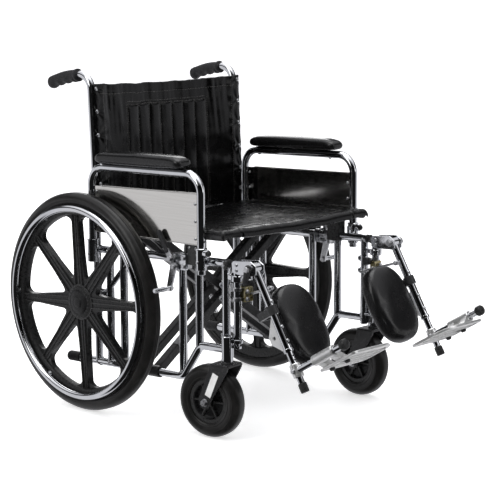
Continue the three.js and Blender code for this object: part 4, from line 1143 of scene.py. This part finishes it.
# ---- upholstery ----
def closed_sheet(surface, thickness, nu, nv):
    """A sheet with rounded edges round a middle surface; returns it and its front-face points."""
    middle = [[surface(i / nu * 2 - 1, j / nv) for i in range(nu + 1)] for j in range(nv + 1)]
    normals = []
    for j in range(nv + 1):
        line = []
        for i in range(nu + 1):
            du = middle[j][min(i + 1, nu)] - middle[j][max(i - 1, 0)]
            dv = middle[min(j + 1, nv)][i] - middle[max(j - 1, 0)][i]
            line.append(du.cross(dv).normalized())
        normals.append(line)
    half = [[thickness(i / nu * 2 - 1, j / nv) / 2 for i in range(nu + 1)] for j in range(nv + 1)]
    points, faces = [], []
    for sign in (1, -1):
        for j in range(nv + 1):
            for i in range(nu + 1):
                points.append(middle[j][i] + normals[j][i] * half[j][i] * sign)
    front = points[: (nu + 1) * (nv + 1)]
    back0 = len(front)

    def at(i, j):
        return j * (nu + 1) + i

    for j in range(nv):
        for i in range(nu):
            quad = [at(i, j), at(i + 1, j), at(i + 1, j + 1), at(i, j + 1)]
            faces.append(quad)
            faces.append([back0 + q for q in reversed(quad)])
    rim = [(i, 0) for i in range(nu)] + [(nu, j) for j in range(nv)]
    rim += [(i, nv) for i in range(nu, 0, -1)] + [(0, j) for j in range(nv, 0, -1)]
    edge0 = len(points)
    for i, j in rim:
        away = Vector((0, 0, 0))
        if i in (0, nu):
            away += (middle[j][i] - middle[j][1 if i == 0 else nu - 1]).normalized()
        if j in (0, nv):
            away += (middle[j][i] - middle[1 if j == 0 else nv - 1][i]).normalized()
        points.append(middle[j][i] + away.normalized() * half[j][i] * 0.8)
    for k, (i, j) in enumerate(rim):
        m = (k + 1) % len(rim)
        a, b = at(i, j), at(*rim[m])
        faces.append([a, edge0 + k, edge0 + m, b])
        faces.append([back0 + b, edge0 + m, edge0 + k, back0 + a])
    return (points, faces), front, normals


def stitches(spot, start, end):
    """A row of short threads on a surface: spot((u, v)) gives a point and its normal."""
    pitch, length = 6.4, 4.2
    (a, _), (b, _) = spot(start), spot(end)
    count = max(2, round((b - a).length / pitch))
    meshes = []
    for i in range(count):
        t0 = i / count
        t1 = t0 + length / pitch / count
        ends = []
        for t in (t0, t1):
            uv = tuple(p + (q - p) * t for p, q in zip(start, end))
            point, normal = spot(uv)
            ends.append(point + normal * 0.35)
        meshes.append(bar(ends[0], ends[1], 0.62, 6, 0.3))
    return merged(*meshes)


def smooth(value, low, high):
    t = min(1, max(0, (value - low) / (high - low)))
    return t * t * (3 - 2 * t)


def sampler(front, normals, nu, nv):
    """spot((u, v)) on a sheet's front face, u from -1 to 1 and v from 0 to 1."""

    def spot(uv):
        a = min(max((uv[0] + 1) / 2 * nu, 0), nu - 1e-6)
        b = min(max(uv[1] * nv, 0), nv - 1e-6)
        i, j = int(a), int(b)
        s, t = a - i, b - j
        rows = nu + 1
        point = (
            front[j * rows + i] * (1 - s) * (1 - t) + front[j * rows + i + 1] * s * (1 - t)
            + front[(j + 1) * rows + i] * (1 - s) * t + front[(j + 1) * rows + i + 1] * s * t
        )
        return point, normals[j][i]

    return spot


def cup_screw(at, axis):
    """An upholstery screw in its cup washer."""
    cup = [(0, 0.4), (3, 0.5), (4.4, 2.1), (5.4, 1.4), (5.7, 0), (5.4, -1), (0, -1)]
    return merged(lathe(cup, at, axis, 28), screw(at + axis * 0.6, axis, 3.24))


BACK_BOTTOM, BACK_TOP, HEM_X = 522, 903, 252
BACK_WRAP, BACK_END = 15.4, 9.6
BACK_HALF = FRAME_X + BACK_END
BACK_SCREWS = (891, 828, 763, 693, 628, 566)
CHANNELS, CHANNEL_EDGE, CHANNEL_TOP = 7, 155, 843


def back_ends(x):
    """Bottom and top of the back sling at x."""
    t = max(0, 1 - (x / FRAME_X) ** 2)
    wave = 2.2 * noise.noise(Vector((x / 46, 3.1, 0))) + 1.1 * noise.noise(Vector((x / 17, 8.7, 0)))
    return BACK_BOTTOM + 3 * t, BACK_TOP - 7 * t + wave * smooth(t, 0, 0.25)


def back_channel(x, z):
    """0 on a sewn line to 1 in the middle of a channel, and 0 outside the quilted area."""
    if abs(x) > CHANNEL_EDGE or z > CHANNEL_TOP:
        return 0
    pitch = 2 * CHANNEL_EDGE / CHANNELS
    puff = abs(math.sin(math.pi * (x + CHANNEL_EDGE) / pitch)) ** 0.55
    return puff * smooth(CHANNEL_TOP - z, 0, 10)


def pucker(across, along, depth, reach):
    """The folds that spread from a screw, at a place across and along from it."""
    d = math.hypot(across, along)
    if not 6 < d < 90:
        return 0
    return depth * math.exp(-d / reach) * math.cos(7 * math.atan2(along, across)) * smooth(d, 6, 16)


def back_wrinkle(x, z):
    """Soft vertical folds, deepest along the top, and tension round the screws."""
    top = smooth(z, 700, 900)
    fold = noise.noise(Vector((x / 34, z / 190, 1.7))) * (1.6 + 3.4 * top)
    fold += noise.noise(Vector((x / 13 + z / 260, z / 120, 5.3))) * (0.5 + 1.1 * top)
    fold += noise.noise(Vector((x / 90, z / 38, 9.9))) * 1.1
    fold *= 1.35 * smooth(FRAME_X - abs(x), 4, 46) * (1 - 0.6 * smooth(CHANNEL_EDGE + 14 - abs(x), 0, 14))
    pulled = FRAME_X - abs(x) - 26 - 7 * noise.noise(Vector((0, z / 70, math.copysign(4.4, x))))
    fold -= 2.6 * math.exp(-((pulled / 9) ** 2))
    return fold + sum(pucker(FRAME_X - abs(x), z - screw_z, 1.5, 32) for screw_z in BACK_SCREWS)


def back_surface(u, v):
    s = u * BACK_HALF
    turn = max(0, abs(s) - FRAME_X) / BACK_WRAP
    x = math.copysign(min(abs(s), FRAME_X) + BACK_WRAP * math.sin(turn), s)
    bottom, top = back_ends(x)
    z = bottom + (top - bottom) * v
    t = max(0, 1 - (x / FRAME_X) ** 2)
    y = cane_y(z) - BACK_WRAP * math.cos(turn) + 19 * t**1.5
    return Vector((x, y + back_wrinkle(x, z), z))


def back_thickness(u, v):
    x = abs(u) * BACK_HALF
    bottom, top = back_ends(x)
    z = bottom + (top - bottom) * v
    hem = max(smooth(x, HEM_X - 2, HEM_X + 2), smooth(top - z, 25, 22), smooth(z - bottom, 25, 22))
    return 3.4 + 1.5 * hem + 9 * back_channel(x if u > 0 else -x, z)


def back_sling():
    p = Piece("sling_vinyl", "thread", "zinc")
    nu, nv = ((300, 150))
    mesh, front, normals = closed_sheet(back_surface, back_thickness, nu, nv)
    p.add(mesh)
    spot = sampler(front, normals, nu, nv)

    def height(z):
        return (z - BACK_BOTTOM) / (BACK_TOP - BACK_BOTTOM)

    edge, line_top = CHANNEL_EDGE / BACK_HALF, height(CHANNEL_TOP + 1.5)
    for i in range(CHANNELS + 1):
        u = edge * (2 * i / CHANNELS - 1)
        p.add(stitches(spot, (u, 0.03), (u, line_top)), "thread")
    for sign in (-1, 1):
        for u, low, high in ((edge + 0.02, 0.03, line_top + 0.02), (HEM_X / BACK_HALF, 0.01, 0.985)):
            p.add(stitches(spot, (sign * u, low), (sign * u, high)), "thread")
    for dv in (0, 0.02):
        p.add(stitches(spot, (-edge, line_top + dv), (edge, line_top + dv)), "thread")
    p.add(stitches(spot, (-0.93, 0.932), (0.93, 0.932)), "thread")
    for sign in (-1, 1):
        for z in BACK_SCREWS:
            point, normal = spot((sign * 279 / BACK_HALF, height(z)))
            p.add(cup_screw(point, normal), "zinc")
    return p


SEAT_WRAP, SEAT_END = 14, 13
SEAT_HALF = FRAME_X + SEAT_END
SEAT_REAR, SEAT_FRONT = 286, -184
SEAT_SCREWS = (262, 196, 118, 40, -38, -110, -158)
LIP_RADIUS, LIP_CURL = 12, math.radians(110)
SEAT_BAND = 222  # from the middle to the seam beside each seat rail
SEAT_SEAM = 0.9  # the seam across the front, as a share of the sheet's length


def seat_surface(u, v):
    """v runs from the rear edge to the end of the lip that curls down at the front."""
    s = u * SEAT_HALF
    turn = max(0, abs(s) - FRAME_X) / SEAT_WRAP
    x = math.copysign(min(abs(s), FRAME_X) + SEAT_WRAP * math.sin(turn), s)
    t = max(0, 1 - (x / FRAME_X) ** 2)
    flat = SEAT_REAR - (SEAT_FRONT + LIP_RADIUS)
    run = v * (flat + LIP_RADIUS * LIP_CURL)
    lip = max(0, run - flat) / LIP_RADIUS
    y = SEAT_REAR - min(run, flat) - LIP_RADIUS * math.sin(lip)
    dip = -(7 + 8 * smooth(y, SEAT_FRONT, 20)) * t**1.5
    wrinkle = noise.noise(Vector((x / 60, y / 85, 2.2))) * 2.2
    wrinkle += noise.noise(Vector((x / 24, y / 60, 7.5))) * 0.9
    wrinkle += noise.noise(Vector((x / 130, y / 15, 4.6))) * 1.3
    wrinkle *= smooth(FRAME_X - abs(x), 6, 60)
    wrinkle += sum(pucker(FRAME_X - abs(x), y - screw_y, 1.3, 30) for screw_y in SEAT_SCREWS)
    z = seat_z(y) + SEAT_WRAP * math.cos(turn) + dip + wrinkle - LIP_RADIUS * (1 - math.cos(lip))
    return Vector((x, y, z))


def seat_thickness(u, v):
    x = abs(u) * SEAT_HALF
    padding = smooth(FRAME_X - x, 22, 64)
    groove = min(1, abs(x - SEAT_BAND) / 5) ** 0.5
    front = min(1, abs(v - SEAT_SEAM) / 0.008) ** 0.5 if x < SEAT_BAND else 1
    return 3.6 + 6.5 * padding * groove * front


def seat_sling():
    p = Piece("sling_vinyl", "thread", "zinc")
    nu, nv = ((280, 200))
    mesh, front, normals = closed_sheet(seat_surface, seat_thickness, nu, nv)
    p.add(mesh)
    spot = sampler(front, normals, nu, nv)
    band = SEAT_BAND / SEAT_HALF
    for sign in (-1, 1):
        for u in (band, band + 0.022, 262 / SEAT_HALF):
            p.add(stitches(spot, (sign * u, 0.01), (sign * u, 0.97)), "thread")
    for v in (0.03, SEAT_SEAM, SEAT_SEAM + 0.012):
        p.add(stitches(spot, (-band, v), (band, v)), "thread")
    total = SEAT_REAR - (SEAT_FRONT + LIP_RADIUS) + LIP_RADIUS * 1.6
    for sign in (-1, 1):
        for y in SEAT_SCREWS:
            point, normal = spot((sign * 278 / SEAT_HALF, (SEAT_REAR - y) / total))
            p.add(cup_screw(point, normal), "zinc")
    return p


# ---- stuffed pads: a voxel remesh swollen by cloth pressure, then smoothed ----
def applied(obj):
    """Replaces the object's mesh by what its modifiers make of it."""
    evaluated = obj.evaluated_get(bpy.context.evaluated_depsgraph_get())
    mesh = bpy.data.meshes.new_from_object(evaluated)
    obj.modifiers.clear()
    obj.data = mesh
    return [v.co.copy() for v in mesh.vertices]


SWELL_FRAMES, SWELL_PRESSURE = 20, 3
SWELL_CAP = 3  # the furthest that a point of a pad may move, in millimetres


def stuff(obj, voxel):
    remesh = obj.modifiers.new("remesh", "REMESH")
    remesh.mode = "VOXEL"
    remesh.voxel_size = voxel * MM
    rest = applied(obj)
    cloth = obj.modifiers.new("cloth", "CLOTH")
    settings = cloth.settings
    settings.quality = 5
    settings.mass = 0.3
    settings.tension_stiffness = settings.compression_stiffness = 25
    settings.bending_stiffness = 10
    settings.use_pressure = True
    settings.uniform_pressure_force = SWELL_PRESSURE
    settings.effector_weights.gravity = 0
    for f in range(SWELL_FRAMES):
        bpy.context.scene.frame_set(f + 1)
    swollen = applied(obj)
    bpy.context.scene.frame_set(1)
    for vertex, before, after in zip(obj.data.vertices, rest, swollen):
        move = after - before
        if move.length > SWELL_CAP * MM:
            move *= SWELL_CAP * MM / move.length
        vertex.co = before + move
    relax = obj.modifiers.new("relax", "SMOOTH")
    relax.factor, relax.iterations = 0.5, 20
    fine = obj.modifiers.new("fine", "SUBSURF")
    fine.levels = fine.render_levels = 1
    applied(obj)
    mesh = obj.data
    mesh.materials.clear()
    mesh.materials.append(MATERIALS["pad_vinyl"])
    mesh.polygons.foreach_set("material_index", [0] * len(mesh.polygons))
    mesh.polygons.foreach_set("use_smooth", [True] * len(mesh.polygons))
    mesh.update()


def mirrored(obj, name):
    mesh = obj.data.copy()
    mesh.transform(Matrix.Scale(-1, 4, X))
    mesh.flip_normals()
    twin = bpy.data.objects.new(name, mesh)
    bpy.context.scene.collection.objects.link(twin)
    return twin


def place_pads(piece, name, body, node, voxel):
    """Stuffs the left pad, mirrors it for the right, and puts both on their bodies."""
    left = piece.object(f"left_{name}")
    stuff(left, voxel)
    right = mirrored(left, f"right_{name}")
    for side, obj in zip(SIDES, (left, right)):
        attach(obj, f"{side}_{body}")
        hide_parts(f"{side}_{node}")


def signed_power(value, power):
    return math.copysign(abs(value) ** power, value)


def arm_pad():
    """Crowned across, flat below, with round ends."""
    front_y, length = -62, 336
    slope = math.atan2(ARM_RISE, ARM_REAR - ARM_FRONT)
    foot = Vector((ARM_X, front_y, arm_z(front_y) + TUBE + 0.6))
    turn = Matrix.Translation(foot) @ Matrix.Rotation(-slope, 4, "X")
    stations, around = 60, 40
    points = []
    for i in range(stations + 1):
        along = length * (i / stations)
        end = min(along, length - along)
        round_off = math.sqrt(max(0.0, 1 - (1 - min(1, end / 22)) ** 2.2))
        crown = 1 - 0.24 * (1 - min(1, end / 50)) ** 2
        for k in range(around):
            a = TAU * k / around
            c, d = math.cos(a), math.sin(a)
            x = 29.5 * signed_power(c, 0.5) * (0.72 + 0.28 * round_off)
            z = 15.4 * signed_power(d, 0.62)
            if d > 0:
                z += 1.8 * (1 - abs(c) ** 2)
            z = (16.2 + z * (0.6 + 0.4 * round_off)) * crown
            points.append(turn @ Vector((x, max(along, 0.6), z)))
    return Piece("pad_vinyl").add((points, skin(stations + 1, around)))


def calf_pad():
    """An oval moulded pad with a crowned front and a soft shoulder."""
    rings = [(-25.4, 0.86), (-25.4, 0.9), (-22.5, 0.965), (-14, 1.0), (3, 1.0), (11, 0.985), (16.5, 0.955)]
    rings += [(20.5, 0.9), (23, 0.8), (24.6, 0.62), (25.3, 0.35)]
    width, length, around = 155, 223, 64
    outline = []
    for k in range(around):
        a = TAU * k / around
        x, z = signed_power(math.cos(a), 0.86), signed_power(math.sin(a), 0.78)
        outline.append((width / 2 * x, length / 2 * z))
    points = []
    for height, scale in rings:
        shrink = (1 - scale) * width / 2
        for x, z in outline:
            r = math.hypot(x, z)
            keep = (r - shrink) / r
            points.append(leg_point(184.5, -16, CALF_DOWN) + Vector((x * keep, -height, z * keep)))
    return Piece("pad_vinyl").add(leg((points, skin(len(rings), around))))


# ---- studio ----
CAMERA_AT = Vector((-3.2441, -3.1048, 1.1935))
CAMERA_ANGLES = (46.3, 9.5, -0.2)  # yaw, pitch downwards and roll, in degrees
FOCAL_PIXELS, FRAME_PIXELS, SENSOR = 1630.7, 500, 36
FLOOR_HALF = 400


def studio():
    yaw, pitch, roll = (math.radians(a) for a in CAMERA_ANGLES)
    level = Vector((math.sin(yaw), math.cos(yaw), 0))
    forward = level * math.cos(pitch) - Z * math.sin(pitch)
    right = Vector((math.cos(yaw), -math.sin(yaw), 0))
    turn = Matrix((right, right.cross(forward), -forward)).transposed()
    camera = bpy.data.objects.new("camera", bpy.data.cameras.new("camera"))
    camera.data.lens = FOCAL_PIXELS / FRAME_PIXELS * SENSOR
    camera.data.sensor_width = SENSOR
    camera.data.clip_end = 2000
    turn = turn @ Matrix.Rotation(roll, 3, "Z")
    camera.matrix_world = Matrix.Translation(CAMERA_AT) @ turn.to_4x4()
    bpy.context.scene.collection.objects.link(camera)
    bpy.context.scene.camera = camera

    def softbox(name, at, target, width, height, watts):
        light = bpy.data.lights.new(name, "AREA")
        light.shape, light.size, light.size_y, light.energy = "RECTANGLE", width, height, watts
        obj = bpy.data.objects.new(name, light)
        obj.location = at
        obj.rotation_euler = (Vector(target) - Vector(at)).to_track_quat("-Z", "Y").to_euler()
        bpy.context.scene.collection.objects.link(obj)

    softbox("key", (-3.6, 0.6, 2.6), (0, 0, 0.5), 2.0, 2.4, 40)
    softbox("fill", (1.6, -4.2, 2.2), (0, 0, 0.4), 1.2, 2.4, 14)
    softbox("top", (0.2, 0.2, 4.2), (0, 0, 0), 3.0, 3.0, 70)
    softbox("rim", (2.6, 3.2, 2.2), (0, 0, 0.5), 2.0, 2.4, 40)

    floor = bpy.data.meshes.new("floor")
    corners = [(x * FLOOR_HALF, y * FLOOR_HALF, 0) for x, y in ((-1, -1), (1, -1), (1, 1), (-1, 1))]
    floor.from_pydata(corners, [], [[0, 1, 2, 3]])
    floor.materials.append(MATERIALS["pale_floor"])
    ground = bpy.data.objects.new("floor", floor)
    bpy.context.scene.collection.objects.link(ground)
    ground.visible_glossy = False

    # pale surroundings with a dark band and a dark camera side, which give the chrome its streaks
    world = bpy.data.worlds.new("studio")
    world.use_nodes = True
    bpy.context.scene.world = world
    nodes, links = world.node_tree.nodes, world.node_tree.links

    def ramp(value, stops):
        node = nodes.new("ShaderNodeValToRGB")
        while len(node.color_ramp.elements) < len(stops):
            node.color_ramp.elements.new(0.5)
        for element, (at, level) in zip(node.color_ramp.elements, stops):
            element.position, element.color = at, (level, level, level * 1.02, 1)
        links.new(value, node.inputs["Fac"])
        return node.outputs["Color"]

    def mixed(blend, a, b):
        node = nodes.new("ShaderNodeMix")
        node.data_type, node.blend_type = "RGBA", blend
        node.inputs["Factor"].default_value = 1
        for value, socket in zip((a, b), colour_sockets(node.inputs)):
            links.new(value, socket)
        return colour_sockets(node.outputs)[0]

    direction = nodes.new("ShaderNodeTexCoord").outputs["Generated"]
    facing = nodes.new("ShaderNodeVectorMath")
    facing.operation = "DOT_PRODUCT"
    facing.inputs[1].default_value = (-math.sin(yaw), -math.cos(yaw), -0.35)
    links.new(direction, facing.inputs[0])
    height = nodes.new("ShaderNodeSeparateXYZ")
    links.new(direction, height.inputs[0])
    around = ramp(facing.outputs["Value"], ((0.2, 0.85), (0.34, 0.012)))
    above = ramp(height.outputs["Z"], ((0.55, 0.0), (0.9, 0.6)))
    bands = ramp(height.outputs["Z"], ((0.2, 1.0), (0.25, 0.06), (0.5, 0.06), (0.56, 1.0)))
    surroundings = mixed("ADD", mixed("MULTIPLY", around, bands), above)
    seen = nodes.new("ShaderNodeMix")
    seen.data_type = "RGBA"
    links.new(nodes.new("ShaderNodeLightPath").outputs["Is Camera Ray"], seen.inputs["Factor"])
    first, second = colour_sockets(seen.inputs)
    links.new(surroundings, first)
    second.default_value = (1.3, 1.3, 1.3, 1)
    links.new(colour_sockets(seen.outputs)[0], nodes["Background"].inputs["Color"])
    nodes["Background"].inputs["Strength"].default_value = 0.8
    bpy.context.scene.view_settings.view_transform = "Standard"


# ---- assembly ----
PAIRS = (
    (frame_tubes, "frame_tubes", "side", "chrome", ("side_frame",)),
    (frame_fittings, "frame_fittings", "side", "chrome", ()),
    (frame_plugs, "frame_plugs", "side", "black_plastic", ()),
    (push_grip, "handle_grip", "side", "grip_rubber", ("push_grip",)),
    (tipping_tip, "tipping_tip", "side", "grip_rubber", ("tipping_lever_tip",)),
    (seat_guide, "guide_saddle", "side", "black_plastic", ("seat_guide",)),
    (wheel_axle, "axle_hardware", "side", "zinc", ("wheel_axle",)),
    (wheel_mag, "mag", "wheel", "black_plastic", ("wheel_mag",)),
    (wheel_tyre, "rear_tyre", "wheel", "tyre", ("wheel_tyre",)),
    (handrim, "push_ring", "wheel", "chrome", ("handrim",)),
    (hub_cap, "hub_cover", "wheel", "black_plastic", ("hub_cap",)),
    (caster_fork, "fork", "caster", "black_paint", ("caster_fork",)),
    (caster_wheel, "caster_rim", "caster_roller", "black_plastic", ("caster_wheel",)),
    (caster_tyre, "front_tyre", "caster_roller", "tyre", ("caster_tyre",)),
    (arm_frame, "arm_tube", "arm", "chrome", ("arm_frame",)),
    (arm_panel, "skirt_panel", "arm", "polished_panel", ("arm_panel",)),
    (arm_latch, "arm_button", "latch", "black_plastic", ("arm_latch",)),
    (brake_clamp, "lock_clamp", "side", "zinc", ("brake_clamp",)),
    (brake_lever, "lock_lever", "brake", "grip_rubber", ("brake_lever",)),
    (brake_shoe, "lock_shoe", "shoe", "zinc", ("brake_shoe",)),
    (hanger, "hanger_post", "hanger", "chrome", ("legrest_hanger",)),
    (release_handle, "release_grip", "release", "grip_rubber", ("legrest_release",)),
    (leg_tube, "leg_outer", "leg", "chrome", ("leg_tube",)),
    (ratchet_rod, "ratchet_bar", "ratchet", "zinc", ("ratchet_rod",)),
    (foot_tube, "leg_inner", "foot", "chrome", ("foot_tube",)),
    (footplate, "foot_rest", "plate", "cast_aluminium", ("footplate",)),
    (calf_bracket, "calf_arm", "calf", "black_paint", ("calf_bracket",)),
)
for make, name, body, slot, nodes in PAIRS:
    make().place_pair(name, body, slot, nodes)

CASTER_TURN = math.radians(8)  # the right caster stands turned
stem = row(-CASTER_X, STEM_Y, 0)
swivel = Matrix.Translation(stem) @ Matrix.Rotation(CASTER_TURN, 4, "Z") @ Matrix.Translation(-stem)
for name in ("fork", "caster_rim", "front_tyre"):
    bpy.data.objects[f"right_{name}"].data.transform(swivel)

cross_frame(1, (87, 154)).place("cross_brace_a", "cross_a", "black_paint", ("cross_frame_a",))
cross_frame(-1, (120.5, 187.5)).place("cross_brace_b", "cross_b", "black_paint", ("cross_frame_b",))
pivot_bolt().place("pivot_hardware", "cross_a", "zinc", ("cross_pivot_bolt",))

place_pads(arm_pad(), "arm_cushion", "arm", "arm_pad", 4)
place_pads(calf_pad(), "calf_cushion", "calf", "calf_pad", 4.5)

back = back_sling().place("back_upholstery", "right_side", "sling_vinyl", ("back_sling",))
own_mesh(back)

seat = seat_sling().object("seat_upholstery")
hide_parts("seat_sling")
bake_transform(seat)

studio()
